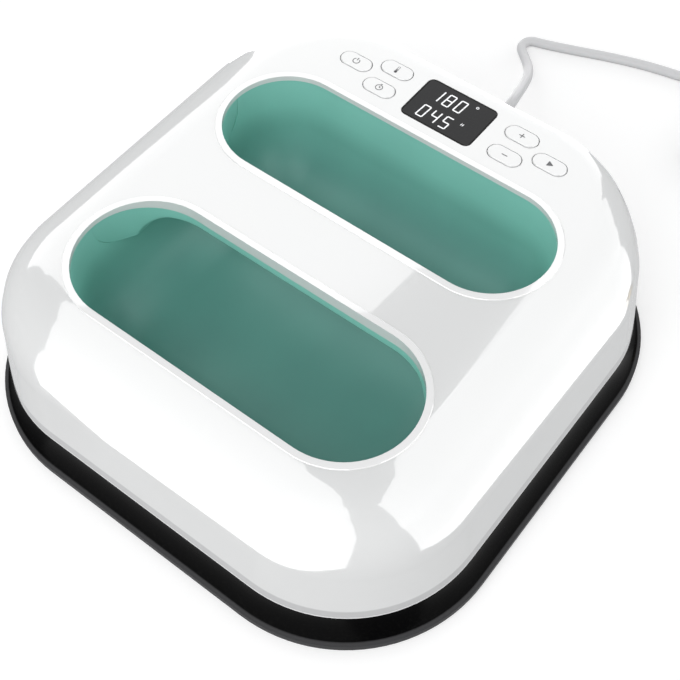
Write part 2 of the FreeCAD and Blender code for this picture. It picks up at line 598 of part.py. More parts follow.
def make_base_housing():
    lip_z = FLANGE_Z + FLANGE_HEIGHT
    low, high = (LIP_WIDTH, lip_z + LIP_RISE), (SKIRT_INSET, SKIRT_TOP)
    middle = ((low[0] + high[0]) / 2 + SKIRT_HOLLOW * 0.85, (low[1] + high[1]) / 2 - SKIRT_HOLLOW * 0.5)
    tongue = SKIRT_INSET + SHELL_WALL + JOINT_CLEAR
    core_top = FLOOR_TOP - FLOOR_THICK - 3
    frame_out = FRAME_INSET - FRAME_WALL
    core = [(SKIRT_WALL, FLANGE_Z), (SKIRT_WALL, lip_z), (skirt_face(12) + SKIRT_WALL, 12.0),
            (tongue, core_top), (frame_out, core_top), (frame_out, FLANGE_Z)]
    section = polygon([(0, FLANGE_Z), (0, lip_z), low, (middle, high), (tongue, SKIRT_TOP),
                       (tongue, FLOOR_TOP), (FRAME_INSET, FLOOR_TOP), (FRAME_INSET, FLANGE_Z)])
    section = section.cut(polygon(core)).Faces[0]
    housing = ring_round_body(section)
    floor = slab(body_outline(FRAME_INSET - 1, FLOOR_TOP - FLOOR_THICK), FLOOR_THICK)
    inner = 0.8
    rib_points = [(SKIRT_WALL - inner, FLANGE_Z + 1), (SKIRT_WALL - inner, lip_z),
                  (skirt_face(12) + SKIRT_WALL - inner, 12.0), (tongue - inner, core_top + inner),
                  (frame_out + inner, core_top + inner), (frame_out + inner, FLANGE_Z + 1)]
    rib = polygon(rib_points)
    rib.rotate(Vector(0, 0, 0), Vector(1, 0, 0), 90)
    rib = rib.mirror(Vector(0, 0, 0), Vector(1, 0, 0)).extrude(Vector(0, RIB_THICK, 0))
    rib.translate(Vector(0, -RIB_THICK / 2, 0))
    ribs = []
    cx, cy = BODY_WIDTH / 2 - BODY_CORNER, BODY_DEPTH / 2 - BODY_CORNER
    for quarter, (sx, sy) in enumerate([(1, 1), (-1, 1), (-1, -1), (1, -1)]):
        for i in range(RIB_COUNT_CORNER):
            one = rib.copy()
            one.translate(Vector(BODY_CORNER, 0, 0))
            turn = 90 * quarter + 90 * (i + 1) / (RIB_COUNT_CORNER + 1)
            one.rotate(Vector(0, 0, 0), Vector(0, 0, 1), turn)
            one.translate(Vector(sx * cx, sy * cy, 0))
            ribs.append(one)
        half, far = (cy, BODY_WIDTH / 2) if quarter % 2 == 0 else (cx, BODY_DEPTH / 2)
        for i in range(RIB_COUNT_SIDE):
            one = rib.copy()
            one.translate(Vector(far, -half + 2 * half * (i + 0.5) / RIB_COUNT_SIDE, 0))
            one.rotate(Vector(0, 0, 0), Vector(0, 0, 1), 90 * quarter)
            ribs.append(one)
    posts = [cylinder(x, y, FLOOR_TOP - FLOOR_THICK, POST_MEET_Z - SEAT_GAP, POST_R) for x, y in POST_AT]
    posts += [cylinder(x, y, FLOOR_TOP - 1, POWER_BOARD_Z, POWER_POST_R) for x, y in POWER_SCREW_AT]
    posts += [cylinder(x, y, FLOOR_TOP - 1, CORD_Z - CORD_D / 2 - SEAT_GAP, POWER_POST_R)
              for x, y in CLAMP_AT]
    housing = fuse([housing, floor] + ribs + posts)
    for x, y in POST_AT:
        housing = housing.cut(cylinder(x, y, 0, FLOOR_TOP + 4, M4_HEAD_R + 0.3))
        housing = housing.cut(cylinder(x, y, 0, POST_MEET_Z, M4_HOLE_R + 0.1))
    for x, y in POWER_SCREW_AT:
        housing = housing.cut(cylinder(x, y, POWER_BOARD_Z - 7, POWER_BOARD_Z, M3_HOLE_R))
    for x, y in CLAMP_AT:
        housing = housing.cut(cylinder(x, y, CORD_Z - CORD_D / 2 - 9, CORD_Z, M3_HOLE_R))
    for x, y in STANDOFF_AT:
        housing = housing.cut(cylinder(x, y, 0, FLOOR_TOP, M4_HOLE_R + 0.1))
    for x, y in TERMINAL_AT:
        housing = housing.cut(cylinder(x, y, 0, FLOOR_TOP, ELEMENT_R + 0.6))
    return housing.cut(cylinder(*SENSOR_HOLE_AT, 0, FLOOR_TOP, SENSOR_HOLE_R))


export("base_housing", make_base_housing())
export("housing_screws", screws(POST_AT, FLOOR_TOP + 4, 4, 32, True))


# ---------------------------------------------------------------- heating plate and what lies on it
ELEMENT_Z = PLATE_THICK
ELEMENT_LEFT = [(-ELEMENT_END_X, ELEMENT_END_Y), (-ELEMENT_END_X, ELEMENT_Y), (-ELEMENT_X, ELEMENT_Y),
                (-ELEMENT_X, -ELEMENT_Y), (-ELEMENT_INNER_X, -ELEMENT_Y), (-ELEMENT_INNER_X, ELEMENT_Y - 50)]


def element_route():
    return ELEMENT_LEFT + [(-x, y) for x, y in reversed(ELEMENT_LEFT)]


def bent_path(points, radii):
    """Straight runs joined by tangent arcs of the given radii."""
    edges = []
    here = points[0]
    for i in range(1, len(points) - 1):
        back = (points[i - 1] - points[i]).normalize()
        on = (points[i + 1] - points[i]).normalize()
        half = (math.pi - back.getAngle(on)) / 2
        cut = radii[i - 1] * math.tan(half)
        a, b = points[i] + back * cut, points[i] + on * cut
        inward = (back + on).normalize()
        middle = points[i] + inward * (radii[i - 1] / math.cos(half) - radii[i - 1])
        edges += [line(here, a), arc(a, middle, b)]
        here = b
    edges.append(line(here, points[-1]))
    return Part.Wire(edges)


def tube(points, radii, r):
    path = bent_path(points, radii)
    start = (points[1] - points[0]).normalize()
    circle = Part.Wire(Part.Circle(points[0], start, r).toShape())
    return path.makePipeShell([circle], True, False), path.Length


def make_element():
    """Bent tube that lies in the plate's channel and rises through the floor at both ends."""
    flat = [Vector(x, y, ELEMENT_Z) for x, y in element_route()]
    risers = [Vector(flat[i].x, flat[i].y, ELEMENT_TOP_Z) for i in (0, -1)]
    route = [risers[0]] + flat + [risers[1]]
    ends = [ELEMENT_RISE_BEND, ELEMENT_END_BEND]
    bends = ends + [ELEMENT_BEND] * (len(flat) - 4) + ends[::-1]
    return tube(route, bends, ELEMENT_R)[0]


def element_channel():
    """Space for the element, cut into the plate's top with upright walls."""
    half = ELEMENT_R + GROOVE_CLEAR
    route = [Vector(x, y, ELEMENT_Z) for x, y in element_route()]
    for end in (0, -1):
        route[end] += Vector(0, half, 0)
    bends = [ELEMENT_END_BEND] + [ELEMENT_BEND] * (len(route) - 4) + [ELEMENT_END_BEND]
    corners = [Vector(dx, 0, dz) + route[0] for dx, dz in
               ((-half, -half), (half, -half), (half, half), (-half, half), (-half, -half))]
    return bent_path(route, bends).makePipeShell([Part.makePolygon(corners)], True, False)


def make_heating_plate():
    plate = slab(body_outline(FRAME_INSET + PLATE_GAP, 0), PLATE_THICK)
    plate = plate.makeFillet(PLATE_EDGE_ROUND, [e for e in plate.Edges if e.BoundBox.ZMax < 0.01])
    plate = plate.cut(element_channel())
    for x, y in STANDOFF_AT:
        plate = plate.cut(cylinder(x, y, PLATE_THICK - 6, PLATE_THICK, M4_HOLE_R))
    return plate


SHIELD_INSET = FRAME_INSET + 5
BLANKET_LOW_Z = PLATE_THICK + ELEMENT_R + 0.3


def floor_passages(z0, z1, extra):
    """Holes that the standoffs, the element's ends and the sensor's lead need on their way up."""
    holes = [cylinder(x, y, z0, z1, STANDOFF_R + extra) for x, y in STANDOFF_AT]
    holes += [cylinder(x, y, z0, z1, ELEMENT_R + extra + 0.3) for x, y in TERMINAL_AT]
    holes.append(cylinder(*SENSOR_HOLE_AT, z0, z1, SENSOR_HOLE_R))
    return fuse(holes)


def make_blanket():
    inset = SHIELD_INSET + SHIELD_THICK + 0.3
    blanket = slab(body_outline(inset, BLANKET_LOW_Z), BLANKET_TOP_Z - BLANKET_LOW_Z)
    half = ELEMENT_R + 0.6
    slots = [box(x - half, x + half, y - ELEMENT_RISE_BEND - half, y, BLANKET_LOW_Z, BLANKET_TOP_Z)
             for x, y in TERMINAL_AT]
    return blanket.cut(floor_passages(BLANKET_LOW_Z, BLANKET_TOP_Z, 0.3)).cut(fuse(slots))


def make_shield():
    tray = slab(body_outline(SHIELD_INSET, SHIELD_RIM_LOW_Z), SHIELD_TOP_Z - SHIELD_RIM_LOW_Z)
    hollow = slab(body_outline(SHIELD_INSET + SHIELD_THICK, SHIELD_RIM_LOW_Z),
                  BLANKET_TOP_Z - SHIELD_RIM_LOW_Z)
    return tray.cut(hollow).cut(floor_passages(BLANKET_TOP_Z, SHIELD_TOP_Z, 0.3))


def make_standoffs():
    top = FLOOR_TOP - FLOOR_THICK
    return Part.makeCompound([cylinder(x, y, PLATE_THICK, top, STANDOFF_R).cut(
        cylinder(x, y, PLATE_THICK, top, M4_HOLE_R + 0.1)) for x, y in STANDOFF_AT])


SENSOR_AT = (STANDOFF_X, STANDOFF_Y - 46)
FUSE_AT = (-STANDOFF_X, STANDOFF_Y - 46)


def make_sensor():
    x, y = SENSOR_AT
    block = box(x - 6, x + 6, y - 4, y + 4, PLATE_THICK, PLATE_THICK + 3.6)
    return block.makeChamfer(0.6, [e for e in block.Edges if e.BoundBox.ZMin > PLATE_THICK + 1])


def make_fuse():
    x, y = FUSE_AT
    barrel = Part.makeCylinder(1.7, 12, Vector(x, y - 6, PLATE_THICK + 1.75), Vector(0, 1, 0))
    ends = Part.makeCylinder(0.5, 24, Vector(x, y - 12, PLATE_THICK + 1.75), Vector(0, 1, 0))
    return barrel.fuse(ends)


export("heating_plate", make_heating_plate())
export("heating_element", make_element())
export("insulation_blanket", make_blanket())
export("heat_shield", make_shield())
export("plate_standoffs", make_standoffs())
export("plate_screws", screws(STANDOFF_AT, FLOOR_TOP, 4, FLOOR_TOP - PLATE_THICK + 5, False))
export("temperature_sensor", make_sensor())
export("thermal_fuse", make_fuse())


# ---------------------------------------------------------------- controls
BOARD_LOW_Z = BOARD_TOP_Z - BOARD_THICK
SWITCH_SIDE = 6.0
SWITCH_HEIGHT = 3.4
PLUNGER_R = 1.7
PLUNGER_TOP_Z = BOARD_TOP_Z + 4.3
STEM_LOW_Z = PLUNGER_TOP_Z + BUTTON_TRAVEL + 0.1


def make_button(x, y):
    top, under = SHELL_TOP + BUTTON_PROUD, TOP_UNDER_Z - 0.3
    cap = slab(stadium(BUTTON_LENGTH, BUTTON_WIDTH, x, y, under - 0.1), top - under + 0.1)
    cap = cap.makeChamfer(BUTTON_EDGE_ROUND * 0.7, [e for e in cap.Edges if e.BoundBox.ZMin > SHELL_TOP])
    grow = 2 * (BUTTON_CLEAR + BUTTON_FLANGE)
    flange = slab(stadium(BUTTON_LENGTH + grow, BUTTON_WIDTH + grow, x, y, under - BUTTON_FLANGE_THICK),
                  BUTTON_FLANGE_THICK)
    stem = cylinder(x, y, STEM_LOW_Z, under, BUTTON_STEM_R)
    return fuse([cap, flange, stem])


def make_window():
    w, d = DISPLAY_WIDTH / 2, DISPLAY_DEPTH / 2
    return slab(rounded_rect(-w, w, DISPLAY_Y - d, DISPLAY_Y + d, DISPLAY_CORNER, DISPLAY_CORNER,
                             SHELL_TOP - WINDOW_THICK + 0.02), WINDOW_THICK - 0.02)


def make_display_module():
    w = DISPLAY_WIDTH / 2 - WINDOW_LEDGE - 0.4
    d = DISPLAY_DEPTH / 2 - WINDOW_LEDGE - 0.4
    return box(-w, w, DISPLAY_Y - d, DISPLAY_Y + d, BOARD_TOP_Z, SHELL_TOP - WINDOW_THICK - 0.2)


def make_control_board():
    x, y0, y1 = BOARD_HALF_LENGTH, BOARD_FRONT_Y, BOARD_REAR_Y
    board = box(-x, x, y0, y1, BOARD_LOW_Z, BOARD_TOP_Z)
    corners = [e for e in board.Edges if e.BoundBox.ZLength > 1 and e.BoundBox.YMin > y1 - 1]
    board = board.makeChamfer(BOARD_CUT, corners)
    return board.cut(fuse(cylinder(px, py, BOARD_LOW_Z, BOARD_TOP_Z, M3_HOLE_R)
                          for px, py in BOARD_SCREW_AT))


def make_switches():
    half = SWITCH_SIDE / 2
    return Part.makeCompound([
        box(x - half, x + half, y - half, y + half, BOARD_TOP_Z, BOARD_TOP_Z + SWITCH_HEIGHT).fuse(
            cylinder(x, y, BOARD_TOP_Z + 1, PLUNGER_TOP_Z, PLUNGER_R)) for x, y in BUTTONS.values()])


for name, (x, y) in BUTTONS.items():
    export(name, make_button(x, y))
export("display_window", make_window())
export("display_module", make_display_module())
export("control_board", make_control_board())
export("tact_switches", make_switches())
export("board_screws", screws(BOARD_SCREW_AT, BOARD_LOW_Z, 3, 8, True))
BUZZER_AT = (52, DISPLAY_Y + 1.7)
export("buzzer", cylinder(*BUZZER_AT, BOARD_LOW_Z - 6.5, BOARD_LOW_Z, 6.0).cut(
    cylinder(*BUZZER_AT, BOARD_LOW_Z - 6.5, BOARD_LOW_Z - 4, 1.2)))


# ---------------------------------------------------------------- power electronics
def on_board_box(x, y, length, depth, low, height):
    """Block on the power board; low is its height above the board's top."""
    x0, y0 = on_power_board(x, y)
    return box(x0, x0 + length, y0, y0 + depth, POWER_TOP_Z + low, POWER_TOP_Z + low + height)


def make_power_board():
    x0, y0 = on_power_board(0, 0)
    board = box(x0, x0 + POWER_LENGTH, y0, y0 + POWER_DEPTH, POWER_BOARD_Z, POWER_TOP_Z)
    corner = [e for e in board.Edges if e.BoundBox.ZLength > 1 and e.BoundBox.XMax < x0 + 1
              and e.BoundBox.YMin > y0 + 1]
    board = board.makeChamfer(POWER_CUT, corner)
    return board.cut(fuse(cylinder(x, y, POWER_BOARD_Z, POWER_TOP_Z, M3_HOLE_R) for x, y in POWER_SCREW_AT))


POWER_TOP_Z = POWER_BOARD_Z + BOARD_THICK
SINK_X = 8.0                # heat sink's back plate on the power board
SINK_Y = 8.5
TRIAC_SIZE = (10.0, 4.5, 15.0)
RELAY_SIZE = (19.0, 15.5, 15.5)
CORE_SIZE = (18.0, 12.0, 14.0)
WINDING_SIZE = (12.0, 14.5, 8.0)
TRIAC_LEG = 2.0             # it stands on three legs
BLOCK_LENGTH, BLOCK_DEPTH, BLOCK_HEIGHT = 32.0, 16.0, 15.0
BLOCK_PITCH = 7.3
BLOCK_X = 30.0
BLOCK_HOLE_R = 2.2
BLOCK_HOLE_Z = FLOOR_TOP + 6.0
BLOCK_HOLE_AT = [(BLOCK_X + 5 + BLOCK_PITCH * i, POWER_FRONT_Y + 7.5 + BLOCK_DEPTH / 2) for i in range(4)]


def make_heat_sink():
    """Extruded sink: a back plate with fins, stood on the board."""
    pitch = (SINK_LENGTH - FIN_THICK) / (FIN_COUNT - 1)
    fins = [on_board_box(SINK_X, SINK_Y, SINK_LENGTH, SINK_BACK, 0, SINK_HEIGHT)]
    fins += [on_board_box(SINK_X + pitch * i, SINK_Y - FIN_DEPTH, FIN_THICK, FIN_DEPTH, 0, SINK_HEIGHT)
             for i in range(FIN_COUNT)]
    return fuse(fins)


def make_terminal_block():
    y0 = POWER_FRONT_Y + 7.5
    top = FLOOR_TOP + BLOCK_HEIGHT
    block = box(BLOCK_X, BLOCK_X + BLOCK_LENGTH, y0, y0 + BLOCK_DEPTH, FLOOR_TOP, top)
    return block.cut(fuse(cylinder(x, y, BLOCK_HOLE_Z, top, BLOCK_HOLE_R) for x, y in BLOCK_HOLE_AT))


def make_triac():
    """Flat case with its back on the heat sink, on three legs."""
    length, depth, height = TRIAC_SIZE
    low_y = SINK_Y + SINK_BACK
    case = on_board_box(18, low_y, length, depth, TRIAC_LEG, height)
    case = case.makeChamfer(0.8, [e for e in case.Edges if e.BoundBox.YMin > case.BoundBox.YMax - 0.1])
    legs = [on_board_box(18 + length / 2 - 0.4 + step, low_y + 1.6, 0.8, 0.6, 0, TRIAC_LEG)
            for step in (-2.54, 0, 2.54)]
    return fuse([case] + legs)


def make_transformer():
    length, depth, height = CORE_SIZE
    wide = (length - WINDING_SIZE[0]) / 2
    deep = (WINDING_SIZE[1] - depth) / 2
    return on_board_box(18, 17.5, length, depth, 0, height).fuse(
        on_board_box(18 + wide, 17.5 - deep, WINDING_SIZE[0], WINDING_SIZE[1], 3, WINDING_SIZE[2]))


export("power_board", make_power_board())
export("power_board_screws", screws(POWER_SCREW_AT, POWER_TOP_Z, 3, 6.5, False))
export("heat_sink", make_heat_sink())
export("triac", make_triac())
export("relay", on_board_box(44, 7.5, RELAY_SIZE[0], RELAY_SIZE[1], 0, RELAY_SIZE[2]))
export("transformer", make_transformer())
export("terminal_block", make_terminal_block())


# ---------------------------------------------------------------- cord
RELIEF_GAP = 0.75           # its flanges clear the leaning wall by this
COIL_INNER_R = 24.7
COIL_OUTER_R = 49.5
COIL_LOW_Z = 1.2
COIL_TOP_Z = 13.4
TIE_THICK = 1.0
TIE_WIDTH = 10.0


def from_rear(x, y, z):
    """Point given from the rear edge of the lower housing."""
    return Vector(x, BODY_DEPTH / 2 + y, z)


COIL_MIDDLE = from_rear(129.8, 122.2, 0)
LEAD_START = Vector(0, RELIEF_Y + RELIEF_OUT, CORD_Z)
LEAD = [LEAD_START, from_rear(-0.6, 30.5, 43.4), from_rear(-4.5, 42.5, 37.5), from_rear(-9.8, 59.5, 28),
        from_rear(-16, 77.5, 19), from_rear(-24.5, 92.5, 10.5), from_rear(-34, 104, 5),
        from_rear(-42.2, 111.9, 3.4), from_rear(-40.4, 120.3, 3.3), from_rear(-30.5, 122.9, 3.3),
        from_rear(-14, 128.9, 3.4), from_rear(9, 138.3, 3.3), from_rear(32, 145.7, 3.5),
        from_rear(56, 150.9, 3.3), from_rear(80, 156.3, 3.6), from_rear(101, 162.5, 4.3),
        from_rear(119, 167.1, 4.3)]
TAIL = [from_rear(174.0, 130, 9.8), from_rear(177.1, 112.5, 6.6), from_rear(179.2, 94.5, 3.5),
        from_rear(180, 79.5, 3.6), from_rear(179.6, 65.5, 7.2)]
PLUG_AT = TAIL[-1]


def bend_radii(points):
    """Each bend as large as the runs beside it allow."""
    radii = []
    for before, at, after in zip(points, points[1:], points[2:]):
        turn = (at - before).getAngle(after - at)
        shorter = min((at - before).Length, (after - at).Length)
        radii.append(0.45 * shorter / math.tan(turn / 2))
    return radii


def make_strain_relief():
    """Ribbed boot: a collar each side of the rear wall and a tapered sleeve outside."""
    wall_in = RELIEF_Y - SHELL_WALL
    bore = CORD_D / 2
    inner_r, neck_r, outer_r = RELIEF_HOLE_R + 1.6, RELIEF_HOLE_R - 0.3, RELIEF_HOLE_R + 1.2
    profile = [(bore, wall_in - 3), (inner_r, wall_in - 3), (inner_r, wall_in - RELIEF_GAP),
               (neck_r, wall_in - RELIEF_GAP), (neck_r, RELIEF_Y + RELIEF_GAP),
               (outer_r, RELIEF_Y + RELIEF_GAP), (outer_r, RELIEF_Y + 3)]
    steps = 5
    start_r, end_r = RELIEF_HOLE_R - 0.1, bore + 1.0
    pitch = (RELIEF_OUT - 4) / steps
    for i in range(steps):
        y = RELIEF_Y + 3 + i * pitch
        r = start_r + (end_r - start_r) * i / (steps - 1)
        profile += [(r, y), (r, y + pitch * 0.6), (r - 0.7, y + pitch * 0.6), (r - 0.7, y + pitch)]
    profile += [(end_r - 0.7, RELIEF_Y + RELIEF_OUT), (bore, RELIEF_Y + RELIEF_OUT)]
    points = [Vector(r, y, CORD_Z) for r, y in profile]
    face = Part.Face(Part.makePolygon(points + [points[0]]))
    return face.revolve(Vector(0, 0, CORD_Z), Vector(0, 1, 0), 360)


def make_coil():
    """Outer form of the wound cord: two layers of turns."""
    r0, r1, low, top = COIL_INNER_R, COIL_OUTER_R, COIL_LOW_Z, COIL_TOP_Z
    points = [(r0 + 1.5, low), (r1 - 1.5, low), (r1, low + 1.6), (r1, low + 5.4), (r1 - 1.4, top - 1.6),
              (r1 - 3, top), (r0 + 1.5, top), (r0, top - 1.6), (r0, low + 1.6)]
    at = [COIL_MIDDLE + Vector(r, 0, z) for r, z in points]
    face = Part.Face(Part.makePolygon(at + [at[0]]))
    return face.revolve(COIL_MIDDLE, Vector(0, 0, 1), 360)


def make_tie():
    """Hook-and-loop strap round the coil's section."""
    half = TIE_WIDTH / 2
    r0 = math.sqrt(COIL_INNER_R * COIL_INNER_R - half * half) - 0.3
    r1 = COIL_OUTER_R + 0.3
    low, top = COIL_LOW_Z - 0.1, COIL_TOP_Z + 0.1
    strap = box(r0 - TIE_THICK, r1 + TIE_THICK, -half, half, low - TIE_THICK, top + TIE_THICK)
    strap = strap.cut(box(r0, r1, -half, half, low, top))
    strap.rotate(Vector(0, 0, 0), Vector(0, 0, 1), 215)
    strap.translate(COIL_MIDDLE)
    return strap


PLUG_LENGTH = 34.0
PLUG_RELIEF = 20.0
PLUG_MIDDLE_Z = 12.2
PLUG_SIZES = [(0, 8.0, 6.5), (6, 11.5, 9.5), (22, 12.5, 11.0), (PLUG_LENGTH, 14.0, 12.0)]


def make_plug():
    """Moulded plug that lies on the floor, pointing to low y, with a tapered sleeve on its cable."""
    sections = []
    for along, half_w, half_h in PLUG_SIZES:
        wire = rounded_rect(-half_w, half_w, -half_h, half_h, half_h * 0.6, half_h * 0.6, 0)
        wire.rotate(Vector(0, 0, 0), Vector(1, 0, 0), 90)
        wire.translate(Vector(PLUG_AT.x, PLUG_AT.y - PLUG_RELIEF - along, PLUG_MIDDLE_Z))
        sections.append(wire)
    body = Part.makeLoft(sections, True, True)
    way = (TAIL[-1] - TAIL[-2]).normalize()
    sleeve = Part.makeCone(CORD_D / 2 + 1, 6.0, PLUG_RELIEF + 2, PLUG_AT, way)
    return body.fuse(sleeve)


def make_pins():
    x = PLUG_AT.x
    face_y = PLUG_AT.y - PLUG_RELIEF - PLUG_LENGTH
    mid = PLUG_MIDDLE_Z
    blades = [box(x + dx - 0.75, x + dx + 0.75, face_y - 17.5, face_y, mid + 2.2, mid + 8.5)
              for dx in (-6.35, 6.35)]
    ground = Part.makeCylinder(2.4, 20.5, Vector(x, face_y - 20.5, mid - 6.0), Vector(0, 1, 0))
    return Part.makeCompound(blades + [ground])


def cord_tube(node, points):
    radii = bend_radii(points)
    solid, length = tube(points, radii, CORD_D / 2)
    export(node, solid)
    exact = math.pi * (CORD_D / 2) ** 2 * length
    print(node, "length", round(length, 1), "volume over section", round(solid.Volume / exact, 4),
          "bend radii", [round(r, 1) for r in radii])


export("strain_relief", make_strain_relief())
INNER_CORD_LENGTH = 22.0
inner_end = Vector(0, RELIEF_Y - SHELL_WALL - 3 - INNER_CORD_LENGTH, CORD_Z)
export("inner_cord", Part.makeCylinder(CORD_D / 2, INNER_CORD_LENGTH, inner_end, Vector(0, 1, 0)))
cord_tube("cord_lead", LEAD)
cord_tube("cord_tail", TAIL)
export("cord_coil", make_coil())
export("cord_tie", make_tie())
export("plug_body", make_plug())
export("plug_pins", make_pins())


CLAMP_HALF = 12.5
CLAMP_WIDTH = 7.0


def make_clamp():
    """Saddle that holds the cord down on two posts."""
    y0, y1 = CLAMP_Y - CLAMP_WIDTH / 2, CLAMP_Y + CLAMP_WIDTH / 2
    half = CLAMP_HALF
    low = CORD_Z - CORD_D / 2
    bore = CORD_D / 2 + 0.05
    bar = box(-half, half, y0, y1, low, CORD_Z + CORD_D / 2 + 1.8)
    bar = bar.cut(Part.makeCylinder(bore, CLAMP_WIDTH, Vector(0, y0, CORD_Z), Vector(0, 1, 0)))
    bar = bar.cut(box(-bore, bore, y0, y1, low, CORD_Z))
    high = CORD_Z + CORD_D
    shoulders = [box(x0, x0 + 7, y0, y1, CORD_Z, high) for x0 in (-half, half - 7)]
    bar = bar.cut(fuse(shoulders))
    return bar.cut(fuse(cylinder(x, y, low, CORD_Z, M3_HOLE_R + 0.1) for x, y in CLAMP_AT))


export("cord_clamp", make_clamp())
export("clamp_screws", screws(CLAMP_AT, CORD_Z, 3, 10, False))


# ---------------------------------------------------------------- wires inside
WIRE_R = 0.9                # the mains cord's three wires
HEATER_LEAD_R = 1.2         # sleeved leads of the element
SENSOR_LEAD_R = 1.0
RIBBON_WIDTH = 7.5          # ribbon between the two boards
RIBBON_THICK = 0.8
RIBBON_SLACK = 4.0
WIRE_RISE = 16.4            # live and neutral arch this far over the power board
EARTH_RISE = 24.4
PAD_X = POWER_LEFT_X + POWER_LENGTH - 4.0       # soldered ends on the power board, front to rear
LIVE_PAD_Y, HEATER_PAD_Y, RIBBON_Y = (POWER_FRONT_Y + y for y in (10.5, 16.5, 21.8))


def wire_tube(points, r):
    return tube(points, bend_radii(points), r)[0]


def drop_to(x, y, rise_z, end_z):
    """Last two points of a wire that comes down on a place from above."""
    return [Vector(x, y, rise_z), Vector(x, y, end_z)]


def make_mains_wires():
    """Live to the power board, neutral and earth to the terminal block."""
    ends = [drop_to(PAD_X, LIVE_PAD_Y, POWER_TOP_Z + WIRE_RISE, POWER_TOP_Z),
            drop_to(*BLOCK_HOLE_AT[1], POWER_TOP_Z + WIRE_RISE, BLOCK_HOLE_Z),
            drop_to(*BLOCK_HOLE_AT[2], POWER_TOP_Z + EARTH_RISE, BLOCK_HOLE_Z)]
    starts = [(-1.7, -0.8, 10.7), (1.7, -0.8, 11.7), (0, 2.0, 14.7)]
    wires = []
    for (x, dz, run), end in zip(starts, ends):
        at = inner_end + Vector(x, 0, dz)
        wires.append(wire_tube([at, at - Vector(0, run, 0)] + end, WIRE_R))
    return Part.makeCompound(wires)


def make_heater_leads():
    """One from each end of the element: to the power board and to the terminal block."""
    over_z = ELEMENT_TOP_Z + 16
    left, right = sorted(TERMINAL_AT)
    places = [(left, (PAD_X, HEATER_PAD_Y), POWER_TOP_Z), (right, BLOCK_HOLE_AT[0], BLOCK_HOLE_Z)]
    leads = []
    for (x, y), place, end_z in places:
        points = [Vector(x, y, ELEMENT_TOP_Z), Vector(x, y, over_z)] + drop_to(*place, over_z, end_z)
        leads.append(wire_tube(points, HEATER_LEAD_R))
    return Part.makeCompound(leads)


def make_sensor_lead():
    """Lies on the plate, rises through the floor and ends under the control board."""
    x, y = SENSOR_AT
    hole_x, hole_y = SENSOR_HOLE_AT
    low = PLATE_THICK + SENSOR_LEAD_R
    points = [Vector(x, y + 4, low), Vector(x, y + 16, low), Vector(hole_x, hole_y - 18, low),
              Vector(hole_x, hole_y, low), Vector(hole_x, hole_y, FLOOR_TOP + 8),
              Vector(hole_x + 4, BOARD_FRONT_Y, FLOOR_TOP + 34)]
    points += drop_to(hole_x + 4, BOARD_FRONT_Y + 5, BOARD_LOW_Z - 10, BOARD_LOW_Z)
    return wire_tube(points, SENSOR_LEAD_R)


def make_ribbon():
    """Flat ribbon that bows between the two boards."""
    middle_z = (POWER_TOP_Z + BOARD_LOW_Z) / 2
    x = PAD_X - RIBBON_WIDTH / 2
    near, far = RIBBON_Y - RIBBON_THICK / 2, RIBBON_Y + RIBBON_THICK / 2
    edges = [arc(Vector(x, near, POWER_TOP_Z), Vector(x, near + RIBBON_SLACK, middle_z),
                 Vector(x, near, BOARD_LOW_Z)),
             line(Vector(x, near, BOARD_LOW_Z), Vector(x, far, BOARD_LOW_Z)),
             arc(Vector(x, far, BOARD_LOW_Z), Vector(x, far + RIBBON_SLACK, middle_z),
                 Vector(x, far, POWER_TOP_Z)),
             line(Vector(x, far, POWER_TOP_Z), Vector(x, near, POWER_TOP_Z))]
    return Part.Face(Part.Wire(edges)).extrude(Vector(RIBBON_WIDTH, 0, 0))


export("mains_wires", make_mains_wires())
export("heater_leads", make_heater_leads())
export("sensor_lead", make_sensor_lead())
export("board_ribbon", make_ribbon())
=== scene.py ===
import json
import math

import bpy
from mathutils import Matrix, Vector


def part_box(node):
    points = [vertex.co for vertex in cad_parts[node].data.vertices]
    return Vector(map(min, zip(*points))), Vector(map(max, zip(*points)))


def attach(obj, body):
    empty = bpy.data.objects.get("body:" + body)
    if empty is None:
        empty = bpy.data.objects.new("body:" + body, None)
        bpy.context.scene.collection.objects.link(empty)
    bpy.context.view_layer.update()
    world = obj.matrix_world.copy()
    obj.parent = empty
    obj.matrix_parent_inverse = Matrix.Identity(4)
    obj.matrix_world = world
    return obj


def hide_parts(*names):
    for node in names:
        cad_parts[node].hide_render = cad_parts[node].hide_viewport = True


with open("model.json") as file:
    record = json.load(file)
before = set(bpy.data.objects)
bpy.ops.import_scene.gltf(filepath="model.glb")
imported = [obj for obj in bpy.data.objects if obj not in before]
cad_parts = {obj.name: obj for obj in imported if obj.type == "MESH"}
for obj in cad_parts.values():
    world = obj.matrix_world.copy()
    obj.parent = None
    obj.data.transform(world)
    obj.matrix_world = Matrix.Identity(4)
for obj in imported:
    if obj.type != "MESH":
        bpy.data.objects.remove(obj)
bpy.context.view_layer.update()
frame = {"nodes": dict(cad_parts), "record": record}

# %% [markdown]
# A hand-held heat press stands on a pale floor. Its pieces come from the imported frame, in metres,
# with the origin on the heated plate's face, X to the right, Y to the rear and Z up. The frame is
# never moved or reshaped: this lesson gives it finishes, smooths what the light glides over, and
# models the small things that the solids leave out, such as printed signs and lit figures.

nodes = frame["nodes"]
slot_of = {part["node"]: part["material_slot"] for part in frame["record"]["subparts"]}
print("nodes", len(nodes), "finishes", len(set(slot_of.values())))

# %% [markdown]
# Seen from above through a fairly long lens, the press keeps its square look. The camera is set by
# where it stands and by two turns, the way a tripod head works, and a small roll for a horizon that
# isn't quite level. Setting the matrix directly avoids aiming constraints.

